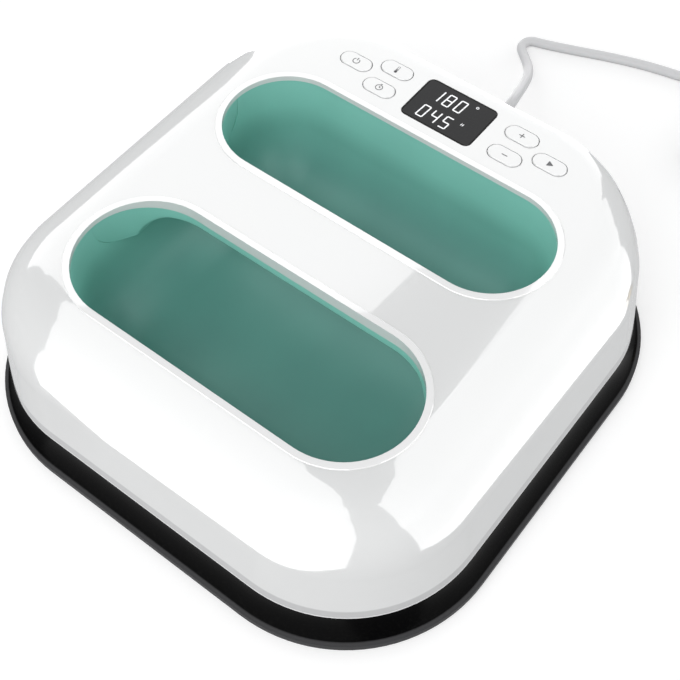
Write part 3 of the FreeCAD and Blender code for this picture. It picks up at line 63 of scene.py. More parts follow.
# %% camera
CAMERA_PLACE = Vector((0.2318, -0.28366, 0.55544))
CAMERA_TURN = math.radians(38.08)
CAMERA_DOWN = math.radians(56.29)
CAMERA_ROLL = math.radians(-0.59)
SENSOR_WIDTH = 36
LENS_PER_WIDTH = 1219.06 / 680      # focal length over the render's width, both in pixels

look = Vector((-math.sin(CAMERA_TURN) * math.cos(CAMERA_DOWN),
               math.cos(CAMERA_TURN) * math.cos(CAMERA_DOWN), -math.sin(CAMERA_DOWN)))
level = Vector((math.cos(CAMERA_TURN), math.sin(CAMERA_TURN), 0))
upright = level.cross(look)
right = level * math.cos(CAMERA_ROLL) + upright * math.sin(CAMERA_ROLL)
above = upright * math.cos(CAMERA_ROLL) - level * math.sin(CAMERA_ROLL)
facing = Matrix((right, above, -look)).transposed().to_4x4()
camera = bpy.data.objects.new("camera", bpy.data.cameras.new("camera"))
camera.data.sensor_width = SENSOR_WIDTH
camera.data.lens = SENSOR_WIDTH * LENS_PER_WIDTH
camera.matrix_world = Matrix.Translation(CAMERA_PLACE) @ facing
bpy.context.scene.collection.objects.link(camera)
bpy.context.scene.camera = camera
print("lens", round(camera.data.lens, 2), "mm")

# %% [markdown]
# The cord is one fixed length of soft jacketed cable. It leaves the sleeve in the rear wall, drops
# to the table, folds back on itself and runs off to the right, to where the rest is wound up. A few
# points steer each stretch, measured from the rear wall: the lead before the coil, and the tail
# after it, which ends in the plug. They could come from a drawn curve, but typed points are easier
# to shift one at a time.

# %% cord route
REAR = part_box("base_housing")[1].y
LEAD = [(0, 0.0217, 0.044), (-0.0006, 0.0305, 0.0434), (-0.0045, 0.0425, 0.0375),
        (-0.0098, 0.0595, 0.028), (-0.016, 0.0775, 0.019), (-0.0245, 0.0925, 0.0105),
        (-0.034, 0.104, 0.005), (-0.0422, 0.1119, 0.0034), (-0.0404, 0.1203, 0.0033),
        (-0.0305, 0.1229, 0.0033), (-0.014, 0.1289, 0.0034), (0.009, 0.1383, 0.0033),
        (0.032, 0.1457, 0.0035), (0.056, 0.1509, 0.0033), (0.08, 0.1563, 0.0036),
        (0.101, 0.1625, 0.0043), (0.119, 0.1671, 0.0043)]
TAIL = [(0.174, 0.13, 0.0098), (0.1771, 0.1125, 0.0066), (0.1792, 0.0945, 0.0035),
        (0.18, 0.0795, 0.0036), (0.1796, 0.0655, 0.0072)]
CORD_WIDTH = 0.0062
lead = [Vector((x, REAR + y, z)) for x, y, z in LEAD]
tail = [Vector((x, REAR + y, z)) for x, y, z in TAIL]
print("cord from", [round(c, 4) for c in lead[0]], "to", [round(c, 4) for c in tail[-1]])

# %% [markdown]
# Put away, a mains lead is wound by hand into a neat coil and held by a strap. The turns go inwards
# on the table, step up, and come back outwards on top, always one cord's width apart. A loop gives
# their points, because the rule is simpler than the numbers.

# %% wound turns
COIL_MIDDLE = Vector((0.1298, REAR + 0.1222, 0))
FIRST_ANGLE, LAST_ANGLE = 102, 10 - 360 * 6
POINTS_PER_TURN = 14
LOWER_TURNS, CHANGE_TURNS = 3, 0.5
OUTER_R, INNER_R = 0.0464, 0.0278
CHANGE_SWING = 0.0012               # the step up swings this far inwards
LOW_Z, HIGH_Z = 0.0043, 0.0103


def coil_point(turn):
    """Place on the wound cord after so many turns: inwards below, up, then outwards on top."""
    angle = math.radians(FIRST_ANGLE - turn * 360)
    change = min(max((turn - LOWER_TURNS) / CHANGE_TURNS, 0), 1)
    z = LOW_Z + (HIGH_Z - LOW_Z) * change
    if turn < LOWER_TURNS:
        r = OUTER_R - CORD_WIDTH * turn
    elif change < 1:
        r = INNER_R - CHANGE_SWING * math.sin(math.pi * change)
    else:
        r = INNER_R + CORD_WIDTH * (turn - LOWER_TURNS - CHANGE_TURNS)
    return COIL_MIDDLE + Vector((r * math.cos(angle), r * math.sin(angle), z))


turns = (FIRST_ANGLE - LAST_ANGLE) / 360
steps = int(turns * POINTS_PER_TURN)
coil = [coil_point(turns * i / steps) for i in range(1, steps)]
print("turns", round(turns, 2), "points", len(coil))

# %% [markdown]
# One smooth spline takes up all the points, so no joint shows between lead, coil and tail. Blender
# adds each point's radius to a curve's bounding box, so the radii hold half the cord's width and
# the bevel depth is 1, not the other way round.

# %% the cord
def spline_through(name, points, width):
    curve = bpy.data.curves.new(name, "CURVE")
    curve.dimensions = "3D"
    curve.bevel_depth = 1
    curve.bevel_resolution = 5
    curve.resolution_u = 8
    curve.use_fill_caps = True
    spline = curve.splines.new("NURBS")
    spline.points.add(len(points) - 1)
    for at, point in zip(points, spline.points):
        point.co = (*at, 1)
        point.radius = width / 2
    spline.order_u = 3
    spline.use_endpoint_u = True
    piece = bpy.data.objects.new(name, curve)
    bpy.context.scene.collection.objects.link(piece)
    return piece


cord = spline_through("mains_cord", lead + coil + tail, CORD_WIDTH)
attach(cord, "press")
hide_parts("cord_lead", "cord_coil", "cord_tail")
print("cord points", len(cord.data.splines[0].points))

# %% [markdown]
# The press stands in the middle of a square of four soft walls, each an area lamp, and one softbox
# hangs in front of it, high enough to reach down to the rear walls of the wells. A lamp's power
# follows from how bright its face is to be, so a face can be made wider without changing its look.
# The lamps are hidden from mirror reflections: the cards in a later step give those.

# %% soft lamps
PRESS_TOP = Vector((0, 0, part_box("upper_housing")[1].z))
LAMP_DISTANCE = 2.6
WALL_UP, WALL_WIDTH, WALL_HEIGHT = 18, 4.8, 1.6
WALLS = (("front_wall", -105, 0.68), ("right_wall", -15, 0.9),
         ("rear_wall", 75, 1.25), ("left_wall", 165, 1.15))
SOFTBOX_ROUND, SOFTBOX_UP, SOFTBOX_SIDE, SOFTBOX_GLOW = -82, 50, 1.7, 3.55


def soft_lamp(name, azimuth, elevation, width, height, brightness):
    """Area lamp that faces the press's top from azimuth and elevation, in degrees."""
    around, up = math.radians(azimuth), math.radians(elevation)
    lamp = bpy.data.lights.new(name, "AREA")
    lamp.shape = "RECTANGLE"
    lamp.size, lamp.size_y = width, height
    lamp.energy = brightness * math.pi * width * height
    holder = bpy.data.objects.new(name, lamp)
    out = Vector((math.cos(around) * math.cos(up), math.sin(around) * math.cos(up), math.sin(up)))
    holder.matrix_world = Matrix.Translation(PRESS_TOP + out * LAMP_DISTANCE) @ \
        Matrix.Rotation(around + math.pi / 2, 4, "Z") @ Matrix.Rotation(math.pi / 2 - up, 4, "X")
    holder.visible_camera = False
    holder.visible_glossy = False
    bpy.context.scene.collection.objects.link(holder)
    print(name, round(lamp.energy, 1), "W")


for name, azimuth, brightness in WALLS:
    soft_lamp(name, azimuth, WALL_UP, WALL_WIDTH, WALL_HEIGHT, brightness)
soft_lamp("front_softbox", SOFTBOX_ROUND, SOFTBOX_UP, SOFTBOX_SIDE, SOFTBOX_SIDE, SOFTBOX_GLOW)

# %% [markdown]
# Floor, sky and finishes are all drawn by nodes, boxes that pass numbers and colours on. By hand
# they are dragged and joined in the shader editor. In a script, small helpers do it: one gives a
# socket its value, two are the nodes used most, Math and Map Range, and one tells rays apart.

# %% node helpers
def feed(tree, socket, value):
    """Gives a socket its value: a number, a colour, or another node's output."""
    if isinstance(value, bpy.types.NodeSocket):
        tree.links.new(value, socket)
    else:
        socket.default_value = value


def maths(tree, operation, *values):
    """Output of a Math node; each value is a number or a socket."""
    node = tree.nodes.new("ShaderNodeMath")
    node.operation = operation
    for socket, value in zip(node.inputs, values):
        feed(tree, socket, value)
    return node.outputs[0]


def scale_range(tree, source, low, high, to_low, to_high):
    """Maps source from low..high to to_low..to_high, clamped; a bound is a number or a socket."""
    ranges = tree.nodes.new("ShaderNodeMapRange")
    for title, value in (("Value", source), ("From Min", low), ("From Max", high),
                         ("To Min", to_low), ("To Max", to_high)):
        feed(tree, ranges.inputs[title], value)
    return ranges.outputs["Result"]


def seen_directly(tree):
    """1 for rays from the camera or through glass, else 0."""
    ray = tree.nodes.new("ShaderNodeLightPath").outputs
    return maths(tree, "MAXIMUM", ray["Is Camera Ray"], ray["Is Transmission Ray"])


print("node helpers ready")

# %% [markdown]
# The floor is a plain pale sheet. What the camera sees of it is lifted to white by a little glow of
# its own, so the ground is white while the press still leaves its shadow there. The glow is
# switched by the kind of ray, and adds no light to the press. It grows with the distance, because
# the lamps don't reach the floor behind them.

# %% floor
FLOOR_SIZE = 14
FLOOR_COLOUR = 0.6
NEAR_GLOW, FAR_GLOW = 0.5, 1.0
GLOW_FROM, GLOW_TO = 1.0, 2.2       # distances from the press

bpy.ops.object.select_all(action="DESELECT")
bpy.ops.mesh.primitive_plane_add(size=FLOOR_SIZE, location=(0, 0, 0))
floor = bpy.context.active_object
floor.name = "floor"
floor.visible_glossy = False
pale = bpy.data.materials.new("pale_floor")
pale.use_nodes = True
tree = pale.node_tree
tree.nodes.clear()
matte = tree.nodes.new("ShaderNodeBsdfDiffuse")
matte.inputs["Color"].default_value = (FLOOR_COLOUR, FLOOR_COLOUR, FLOOR_COLOUR, 1)
place = tree.nodes.new("ShaderNodeTexCoord")
away = tree.nodes.new("ShaderNodeVectorMath")
away.operation = "LENGTH"
tree.links.new(place.outputs["Object"], away.inputs[0])
rising = scale_range(tree, away.outputs["Value"], GLOW_FROM, GLOW_TO, NEAR_GLOW, FAR_GLOW)
glow = tree.nodes.new("ShaderNodeEmission")
tree.links.new(maths(tree, "MULTIPLY", seen_directly(tree), rising), glow.inputs["Strength"])
together = tree.nodes.new("ShaderNodeAddShader")
output = tree.nodes.new("ShaderNodeOutputMaterial")
tree.links.new(matte.outputs[0], together.inputs[0])
tree.links.new(glow.outputs[0], together.inputs[1])
tree.links.new(together.outputs[0], output.inputs["Surface"])
floor.data.materials.append(pale)
print("floor", FLOOR_SIZE, "m wide")

# %% [markdown]
# The sky is switched by the kind of ray too: white where the camera or a glass sees it, dimmer
# where it gives light, and grey in mirrors, where it stands in for the floor. Standard is the plain
# view transform, in which a colour comes out about as it is written.

# %% sky
SKY_TINT = (0.98, 0.99, 1, 1)
SKY_LIGHT, SKY_MIRRORED, SKY_SEEN = 0.33, 0.64, 1.0

world = bpy.data.worlds.new("sky")
bpy.context.scene.world = world
world.use_nodes = True
tree = world.node_tree
tree.nodes.clear()
sky = tree.nodes.new("ShaderNodeBackground")
sky.inputs["Color"].default_value = SKY_TINT
in_mirror = tree.nodes.new("ShaderNodeLightPath").outputs["Is Glossy Ray"]
strength = SKY_LIGHT
for switch, value in ((in_mirror, SKY_MIRRORED), (seen_directly(tree), SKY_SEEN)):
    mix = tree.nodes.new("ShaderNodeMix")
    for title, part in (("Factor", switch), ("A", strength), ("B", value)):
        feed(tree, mix.inputs[title], part)
    strength = mix.outputs["Result"]
tree.links.new(strength, sky.inputs["Strength"])
output = tree.nodes.new("ShaderNodeOutputWorld")
tree.links.new(sky.outputs[0], output.inputs["Surface"])
bpy.context.scene.view_settings.view_transform = "Standard"
print("sky", SKY_LIGHT, "for light,", SKY_MIRRORED, "in mirrors")

# %% [markdown]
# Glossy white plastic is drawn by what it mirrors. Studio hands hang white cards round it and leave
# grey between them, and the curves of the housing carry those patches as clean-edged highlights.
# Each card is a flat shape over the press, with a skirt folded down from its outer edge. Its
# corners are given in heights of the cards over the press's top. The cards are there for mirror
# reflections only: nothing else sees them, and they light nothing.

# %% white cards
CARD_HEIGHT = 2.0
CARD_GLOW = 2.5
card_white = bpy.data.materials.new("card_white")
card_white.use_nodes = True
card_shader = card_white.node_tree.nodes["Principled BSDF"]
card_shader.inputs["Base Color"].default_value = (0.01, 0.01, 0.01, 1)
card_shader.inputs["Emission Color"].default_value = (1, 1, 1, 1)
card_shader.inputs["Emission Strength"].default_value = CARD_GLOW
card_white.cycles.emission_sampling = "NONE"


def hanging_card(name, first_end, last_end, *corners):
    """Card over the press, its outer edge, from the last corner to the first, folded down. Each end
    of the fold says how far its lower corner drops and how far it moves outwards along the edge."""
    bpy.ops.object.select_all(action="DESELECT")
    bpy.ops.mesh.primitive_circle_add(vertices=len(corners), fill_type="NGON")
    card = bpy.context.active_object
    card.name = name
    for vertex, (x, y) in zip(card.data.vertices, corners):
        vertex.co = PRESS_TOP + Vector((x, y, 1)) * CARD_HEIGHT
    ends = (0, len(corners) - 1)
    for item in list(card.data.vertices) + list(card.data.polygons):
        item.select = False
    for edge in card.data.edges:
        edge.select = set(edge.vertices) == set(ends)
    bpy.ops.object.mode_set(mode="EDIT")
    bpy.ops.mesh.select_mode(type="EDGE")
    bpy.ops.mesh.extrude_region_move(TRANSFORM_OT_translate={"value": (0, 0, -CARD_HEIGHT)})
    bpy.ops.mesh.select_mode(type="VERT")
    bpy.ops.object.mode_set(mode="OBJECT")
    first, last = (card.data.vertices[i].co.copy() for i in ends)
    along = (first - last).normalized()
    skirt = list(card.data.vertices)[len(corners):]
    for upper, outwards, (drop, shift) in ((first, along, first_end), (last, -along, last_end)):
        lower = min(skirt, key=lambda v: (v.co.xy - upper.xy).length)
        lower.co = upper + (outwards * shift - Vector((0, 0, drop))) * CARD_HEIGHT
    card.visible_camera = False
    card.visible_diffuse = False
    card.visible_transmission = False
    card.visible_volume_scatter = False
    card.visible_shadow = False
    card.data.materials.append(card_white)
    print(name, len(card.data.vertices), "corners")


hanging_card("front_card", (3.3, -0.55), (5.1, 0.6),
             (2.55, -2.7), (-0.3, 0.19), (-0.69, 0.25), (-0.71, -0.4), (-1.0, -1.15), (-1.85, -2.7))
hanging_card("right_card", (4.7, 0), (3.2, -0.6),
             (2.2, 3.35), (0.6, 1.74), (0.09, 1.44), (-0.05, 1.1), (-0.25, 0.73), (-0.235, 0.42),
             (0.11, 0.27), (0.33, 0.07), (0.58, -0.23), (3.0, -0.9))
hanging_card("rear_card", (3.2, -0.4), (3.2, -0.8),
             (-2.15, 1.4), (-3.3, 1.5), (-3.9, 0.6), (-5.0, -0.2), (-1.0, 0.17), (-0.75, 0.32),
             (-0.675, 0.35), (-0.385, 0.56), (-0.38, 0.65), (-0.25, 0.73), (-0.05, 1.1),
             (0.05, 2.6))

# %% [markdown]
# Effects that several finishes share are shader node groups, each built once. A small maker keeps
# them short: it opens a group with named inputs and outputs. Patterns read Object coordinates,
# which are metres in the press's own frame, so a scale is the number of grains in a metre, whatever
# the piece.

# %% group maker
def new_group(name, takes, gives):
    """An empty node group with number inputs {name: default} and outputs {name: socket type}."""
    group = bpy.data.node_groups.new(name, "ShaderNodeTree")
    for title, default in takes.items():
        socket = group.interface.new_socket(title, in_out="INPUT", socket_type="NodeSocketFloat")
        socket.default_value = default
    for title, kind in gives.items():
        group.interface.new_socket(title, in_out="OUTPUT", socket_type=kind)
    entry = group.nodes.new("NodeGroupInput")
    leave = group.nodes.new("NodeGroupOutput")
    return group, entry.outputs, leave.inputs


def noise_in(tree, per_metre, detail, stretch=(1, 1, 1)):
    """Noise on Object coordinates, in grains per metre, drawn out along the axes by stretch."""
    place = tree.nodes.new("ShaderNodeTexCoord")
    shape = tree.nodes.new("ShaderNodeMapping")
    shape.inputs["Scale"].default_value = stretch
    noise = tree.nodes.new("ShaderNodeTexNoise")
    noise.inputs["Detail"].default_value = detail
    feed(tree, noise.inputs["Scale"], per_metre)
    tree.links.new(place.outputs["Object"], shape.inputs["Vector"])
    tree.links.new(shape.outputs["Vector"], noise.inputs["Vector"])
    return noise.outputs["Fac"]


print("group maker ready")

# %% [markdown]
# Moulded plastic is never perfectly even. Fine grain comes from the tool's surface, and broad,
# faint waves from the flow of the melt. The grain group gives the grain as a height for a Bump
# node, and the waves as a small change of roughness, which only a mirror-like piece shows.

# %% grain group
WAVES_PER_METRE = 14
grain, taken, given = new_group("moulded_grain",
                                {"Grains per metre": 900, "Roughness": 0.2, "Spread": 0.03},
                                {"Height": "NodeSocketFloat", "Roughness": "NodeSocketFloat"})
waves = scale_range(grain, noise_in(grain, WAVES_PER_METRE, 1), 0.3, 0.7, -1, 1)
swing = maths(grain, "MULTIPLY_ADD", waves, taken["Spread"], taken["Roughness"])
grain.links.new(noise_in(grain, taken["Grains per metre"], 3), given["Height"])
grain.links.new(swing, given["Roughness"])
print("moulded_grain", len(grain.nodes), "nodes")

# %% [markdown]
# Edges that hands and tables touch go a shade paler and duller. Pointiness, from the Geometry node,
# tells an outer edge from a flat, and noise breaks the line up. It needs a joined-up mesh, so only
# the smoothed copies use it.

# %% wear group
SHARPEST_EDGE = 0.62
WEAR_PATCHES_PER_METRE = 160
wear, taken, given = new_group("edge_wear", {"Amount": 0.5, "Edge": 0.53},
                               {"Mask": "NodeSocketFloat"})
shape = wear.nodes.new("ShaderNodeNewGeometry")
edge = scale_range(wear, shape.outputs["Pointiness"], taken["Edge"], SHARPEST_EDGE, 0, 1)
patchy = scale_range(wear, noise_in(wear, WEAR_PATCHES_PER_METRE, 4), 0.35, 0.7, 0.2, 1)
rubbed = maths(wear, "MULTIPLY", maths(wear, "MULTIPLY", edge, patchy), taken["Amount"])
wear.links.new(rubbed, given["Mask"])
print("edge_wear", len(wear.nodes), "nodes")

# %% [markdown]
# Dust works the other way: it lies on what faces up. The surface's normal says how level it is, and
# specks of noise say where the grains fell.

# %% dust group
dust, taken, given = new_group("settled_dust", {"Amount": 0.1, "Specks per metre": 700},
                               {"Mask": "NodeSocketFloat"})
shape = dust.nodes.new("ShaderNodeNewGeometry")
split = dust.nodes.new("ShaderNodeSeparateXYZ")
dust.links.new(shape.outputs["Normal"], split.inputs[0])
facing_up = scale_range(dust, split.outputs["Z"], 0.2, 0.9, 0, 1)
specks = scale_range(dust, noise_in(dust, taken["Specks per metre"], 4), 0.5, 0.75, 0, 1)
fallen = maths(dust, "MULTIPLY", maths(dust, "MULTIPLY", facing_up, specks), taken["Amount"])
dust.links.new(fallen, given["Mask"])
print("settled_dust", len(dust.nodes), "nodes")

# %% [markdown]
# Every finish starts as a Principled shader. What is the same all over a piece is set on the
# shader's own sockets. The colour that is set here is the one to start from, and masks then blend
# it with others.

# %% starting a finish
PLASTIC_IOR = 1.5
finishes = {}


def finish(name, colour, roughness, metallic=0.0, coat=0.0, coat_roughness=0.03, coat_ior=1.5,
           gloss=0.5):
    """Starts a finish and keeps it by its name; gives back its nodes and its shader."""
    material = bpy.data.materials.new(name)
    material.use_nodes = True
    shader = material.node_tree.nodes["Principled BSDF"]
    for title, value in (("Base Color", (*colour, 1)), ("Roughness", roughness),
                         ("Metallic", metallic), ("Coat Weight", coat),
                         ("Coat Roughness", coat_roughness), ("Coat IOR", coat_ior),
                         ("IOR", PLASTIC_IOR), ("Specular IOR Level", gloss)):
        shader.inputs[title].default_value = value
    finishes[name] = material
    return material.node_tree, shader


print("finishes so far", len(finishes))

# %% [markdown]
# What varies over a piece comes from nodes. These helpers put a group to use, turn a height into
# relief, add the grain, blend a colour towards another by a mask, and read the height in the press.

# %% finish helpers
def use_group(tree, group, **values):
    """The outputs of a group; an underscore in a value's name stands for a space."""
    node = tree.nodes.new("ShaderNodeGroup")
    node.node_tree = group
    for title, value in values.items():
        node.inputs[title.replace("_", " ")].default_value = value
    return node.outputs


def bump(tree, shader, height, depth):
    """Turns a height into the shader's normal; depth is how deep the pattern is, in metres."""
    relief = tree.nodes.new("ShaderNodeBump")
    relief.inputs["Strength"].default_value = 1
    relief.inputs["Distance"].default_value = depth
    tree.links.new(height, relief.inputs["Height"])
    tree.links.new(relief.outputs["Normal"], shader.inputs["Normal"])


def add_grain(tree, shader, per_metre, depth, roughness, spread):
    """Grain in the surface and in its roughness; gives back the roughness."""
    made = use_group(tree, grain, Grains_per_metre=per_metre, Roughness=roughness, Spread=spread)
    bump(tree, shader, made["Height"], depth)
    tree.links.new(made["Roughness"], shader.inputs["Roughness"])
    return made["Roughness"]


def blend_colour(tree, shader, mask, first, second, into="Base Color"):
    """A colour goes from first to second with the mask; first may be a socket."""
    mix = tree.nodes.new("ShaderNodeMix")
    mix.data_type = "RGBA"
    feed(tree, mix.inputs["Factor"], mask)
    feed(tree, mix.inputs["A"], (*first, 1) if isinstance(first, tuple) else first)
    feed(tree, mix.inputs["B"], (*second, 1))
    tree.links.new(mix.outputs["Result"], shader.inputs[into])
    return mix.outputs["Result"]


def height_in(tree):
    """Height above the plate's face, in metres."""
    place = tree.nodes.new("ShaderNodeTexCoord")
    split = tree.nodes.new("ShaderNodeSeparateXYZ")
    tree.links.new(place.outputs["Object"], split.inputs[0])
    return split.outputs["Z"]


print("finish helpers ready")

# %% [markdown]
# The white housing and its buttons are moulded with a polished tool and look lacquered. A clear
# coat over a nearly smooth base gives two gloss layers, so the cards mirror clearly without more
# light. The colour stays below full white, which leaves room for the highlights. Just over the
# black housing the white one is painted greyer where it tucks in, as painted shade, above a fine
# painted highlight along its lowest edge, and the crests of the raised rims round the openings
# carry a painted highlight too. Masks on the height give all three.

# %% white plastics
WHITE, WORN_WHITE = (0.765, 0.77, 0.768), (0.80, 0.80, 0.79)
# The tuck colour is painted shade; the edge colour and the rim colour are painted highlights.
TUCK_PAINTED_SHADE, EDGE_PAINTED_HIGHLIGHT, RIM_PAINTED_HIGHLIGHT = (0.53, 0.53, 0.535), (0.84, 0.84, 0.84), (0.88, 0.88, 0.88)
TUCK_TOP, TUCK_FADE = 0.0318, 0.0012
EDGE_TOP, EDGE_FADE = 0.0262, 0.0004
RIM_FOOT, RIM_CREST = 0.00042, 0.00024      # depths below the top of the rims
LACQUER_IOR = 1.75

tree, shader = finish("white_shell", WHITE, 0.12, coat=1.0, coat_roughness=0.02,
                      coat_ior=LACQUER_IOR)
add_grain(tree, shader, per_metre=700, depth=0.000004, roughness=0.12, spread=0.02)
z = height_in(tree)
# Masks for the painted shade where the housing tucks in and the painted highlights on its lowest
# edge and on the rim crests.
tuck_shade_mask = scale_range(tree, z, TUCK_TOP, TUCK_TOP - TUCK_FADE, 0, 1)
edge_highlight_mask = scale_range(tree, z, EDGE_TOP, EDGE_TOP - EDGE_FADE, 0, 1)
rim_highlight_mask = scale_range(tree, z, PRESS_TOP.z - RIM_FOOT, PRESS_TOP.z - RIM_CREST, 0, 1)
worn = use_group(tree, wear, Amount=0.25, Edge=0.55)["Mask"]
colour = WHITE
for mask, other in ((tuck_shade_mask, TUCK_PAINTED_SHADE), (edge_highlight_mask, EDGE_PAINTED_HIGHLIGHT), (rim_highlight_mask, RIM_PAINTED_HIGHLIGHT),
                    (worn, WORN_WHITE)):
    colour = blend_colour(tree, shader, mask, colour, other)

tree, shader = finish("white_button", WHITE, 0.2, coat=1.0, coat_roughness=0.03,
                      coat_ior=LACQUER_IOR)
add_grain(tree, shader, per_metre=1500, depth=0.000004, roughness=0.22, spread=0.03)
print("white plastics", WHITE)

# %% [markdown]
# The lower housing is deep black. Its gloss is kept low, because at its leaning skirt even a faint
# mirror would catch the white cards and turn it grey. The foot band is blasted to a satin finish,
# and its grey-black colour is a painted highlight. Height above the floor tells the two apart, and
# steers both the painted colour and the roughness.

# %% black plastic
# The foot band's grey-black colour is a painted highlight.
BLACK, BAND_PAINTED_HIGHLIGHT = (0.0015, 0.0015, 0.0016), (0.055, 0.055, 0.057)
WORN_BLACK, DUST_ON_BLACK = (0.12, 0.12, 0.12), (0.35, 0.34, 0.32)
BAND_TOP, BAND_FADE = 0.0079, 0.0004
BAND_DULLER = 0.25

tree, shader = finish("black_shell", BLACK, 0.16, gloss=0.02)
rough = add_grain(tree, shader, per_metre=1400, depth=0.000006, roughness=0.2, spread=0.03)
# The band mask gives the foot band a painted highlight in its colour, and a real satin roughness.
in_band = scale_range(tree, height_in(tree), BAND_TOP, BAND_TOP - BAND_FADE, 0, 1)
worn = use_group(tree, wear, Amount=0.2, Edge=0.58)["Mask"]
dusty = use_group(tree, dust, Amount=0.01)["Mask"]
colour = BLACK
for mask, other in ((in_band, BAND_PAINTED_HIGHLIGHT), (worn, WORN_BLACK), (dusty, DUST_ON_BLACK)):
    colour = blend_colour(tree, shader, mask, colour, other)
duller = maths(tree, "MULTIPLY_ADD", in_band, BAND_DULLER, rough)
tree.links.new(duller, shader.inputs["Roughness"])
print("black plastic, band up to", BAND_TOP)

# %% [markdown]
# The teal well and the underside of the handle are coloured right through and moulded in a finely
# blasted tool, so they have a satin surface: soft, broad highlights and a grain that is seen only
# close up. Down in the well the teal is painted darker, as painted shade, while near the rims it
# keeps its paler colour. A mask on height gives that painted shade, and a slow noise lets the tone
# drift at random.

# %% teal plastic
# The deeper teal is painted shade for the depth of the well.
TEAL, TEAL_PAINTED_SHADE = (0.26, 0.62, 0.535), (0.125, 0.315, 0.28)
SHADE_BEGINS_BELOW_RIM, FULL_SHADE_ABOVE_FLOOR = 0.018, 0.008
HEIGHT_SHARE, DRIFT_SHARE = 0.85, 0.15
DRIFTS_PER_METRE = 18

well_low, well_high = (corner.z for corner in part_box("grip_well"))
tree, shader = finish("teal_plastic", TEAL, 0.42)
add_grain(tree, shader, per_metre=2600, depth=0.00002, roughness=0.42, spread=0.04)
# Painted shade: the teal darkens with depth, from below the rims down to near the floor of the
# well; the noise adds a random drift of tone.
depth = scale_range(tree, height_in(tree), well_high - SHADE_BEGINS_BELOW_RIM, well_low + FULL_SHADE_ABOVE_FLOOR,
                    0, 1)
drift = scale_range(tree, noise_in(tree, DRIFTS_PER_METRE, 1), 0.35, 0.65, 0, DRIFT_SHARE)
painted_shade_and_drift = maths(tree, "MULTIPLY_ADD", depth, HEIGHT_SHARE, drift)
blend_colour(tree, shader, painted_shade_and_drift, TEAL, TEAL_PAINTED_SHADE)
print("teal", TEAL, "well from", round(well_low, 4), "to", round(well_high, 4))

# %% [markdown]
# The display's window is a flat smoked pane. Seen from above it is a dark grey mirror with the lit
# figures behind it. Its printed border is a touch darker, which a mask on the distance from the
# window's edge gives.

# %% smoked window
PANE, PANE_BORDER, DUST_ON_PANE = (0.026, 0.026, 0.027), (0.006, 0.006, 0.006), (0.3, 0.3, 0.3)
BORDER, BORDER_FADE = 0.0011, 0.00022

pane_low, pane_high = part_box("display_window")
pane_half = (pane_high - pane_low) / 2
tree, shader = finish("smoked_window", PANE, 0.09, gloss=0.1)
place = tree.nodes.new("ShaderNodeTexCoord")
from_middle = tree.nodes.new("ShaderNodeVectorMath")
from_middle.operation = "SUBTRACT"
from_middle.inputs[1].default_value = (pane_low + pane_high) / 2
tree.links.new(place.outputs["Object"], from_middle.inputs[0])
split = tree.nodes.new("ShaderNodeSeparateXYZ")
tree.links.new(from_middle.outputs[0], split.inputs[0])
sides = [scale_range(tree, maths(tree, "ABSOLUTE", split.outputs[axis]), half - BORDER,
                     half - BORDER + BORDER_FADE, 0, 1) for axis, half in zip("XY", pane_half)]
dusty = use_group(tree, dust, Amount=0.02, Specks_per_metre=1500)["Mask"]
colour = blend_colour(tree, shader, maths(tree, "MAXIMUM", *sides), PANE, PANE_BORDER)
blend_colour(tree, shader, dusty, colour, DUST_ON_PANE)
print("window", [round(c * 2000, 1) for c in pane_half], "mm")

# %% [markdown]
# Jacketed cable, its moulded sleeve and the plug are soft vinyl: grain, a little dust that darkens
# them, and less gloss than the housing. The cord's jacket is the smoothest, as it comes from an
# extruder and not from a mould.

# %% cord finishes
ROUGHNESS_SPREAD = 0.05
VINYL_DUST, VINYL_DUSTY = 0.06, 0.8
VINYLS = (                          # name, colour, roughness, gloss, grains per metre, their depth
    ("cord_jacket", (0.68, 0.68, 0.69), 0.4, 0.1, 500, 0.00001),
    ("relief_white", (0.56, 0.56, 0.56), 0.45, 0.2, 1200, 0.00002),
    ("plug_grey", (0.58, 0.58, 0.585), 0.42, 0.4, 1400, 0.00003))


def moulded(name, colour, roughness, gloss, per_metre, depth, dust_amount, dust_colour):
    """Grained plastic with dust on it."""
    tree, shader = finish(name, colour, roughness, gloss=gloss)
    add_grain(tree, shader, per_metre, depth, roughness, ROUGHNESS_SPREAD)
    dusty = use_group(tree, dust, Amount=dust_amount)["Mask"]
    blend_colour(tree, shader, dusty, colour, dust_colour)


for vinyl in VINYLS:
    moulded(*vinyl, VINYL_DUST, tuple(c * VINYL_DUSTY for c in vinyl[1]))
print("vinyls", [vinyl[0] for vinyl in VINYLS])

# %% [markdown]
# The strap is woven hook-and-loop tape. Slanting waves, pushed about a little, give both the height
# of its threads and their two near-black colours.

# %% strap finish
STRAP_LOW, STRAP_HIGH = (0.008, 0.008, 0.009), (0.03, 0.03, 0.032)
THREADS_SCALE, THREADS_WANDER, THREADS_DEPTH = 420, 2.5, 0.0002
tree, shader = finish("tie_strap", STRAP_LOW, 0.85, gloss=0.3)
place = tree.nodes.new("ShaderNodeTexCoord")
weave = tree.nodes.new("ShaderNodeTexWave")
weave.bands_direction = "DIAGONAL"
weave.inputs["Scale"].default_value = THREADS_SCALE
weave.inputs["Distortion"].default_value = THREADS_WANDER
tree.links.new(place.outputs["Object"], weave.inputs["Vector"])
bump(tree, shader, weave.outputs["Fac"], THREADS_DEPTH)
blend_colour(tree, shader, weave.outputs["Fac"], STRAP_LOW, STRAP_HIGH)
print("strap", len(tree.nodes), "nodes")

# %% [markdown]
# The metals differ in how they were worked. Cast and ground faces carry fine parallel scratches, so
# their noise is drawn out along one axis. The element's sheath has been hot and is tinted in
# patches. Plating on screws is nearly even. One helper makes them all from a colour, a second
# colour to drift towards, and the direction of the scratches.

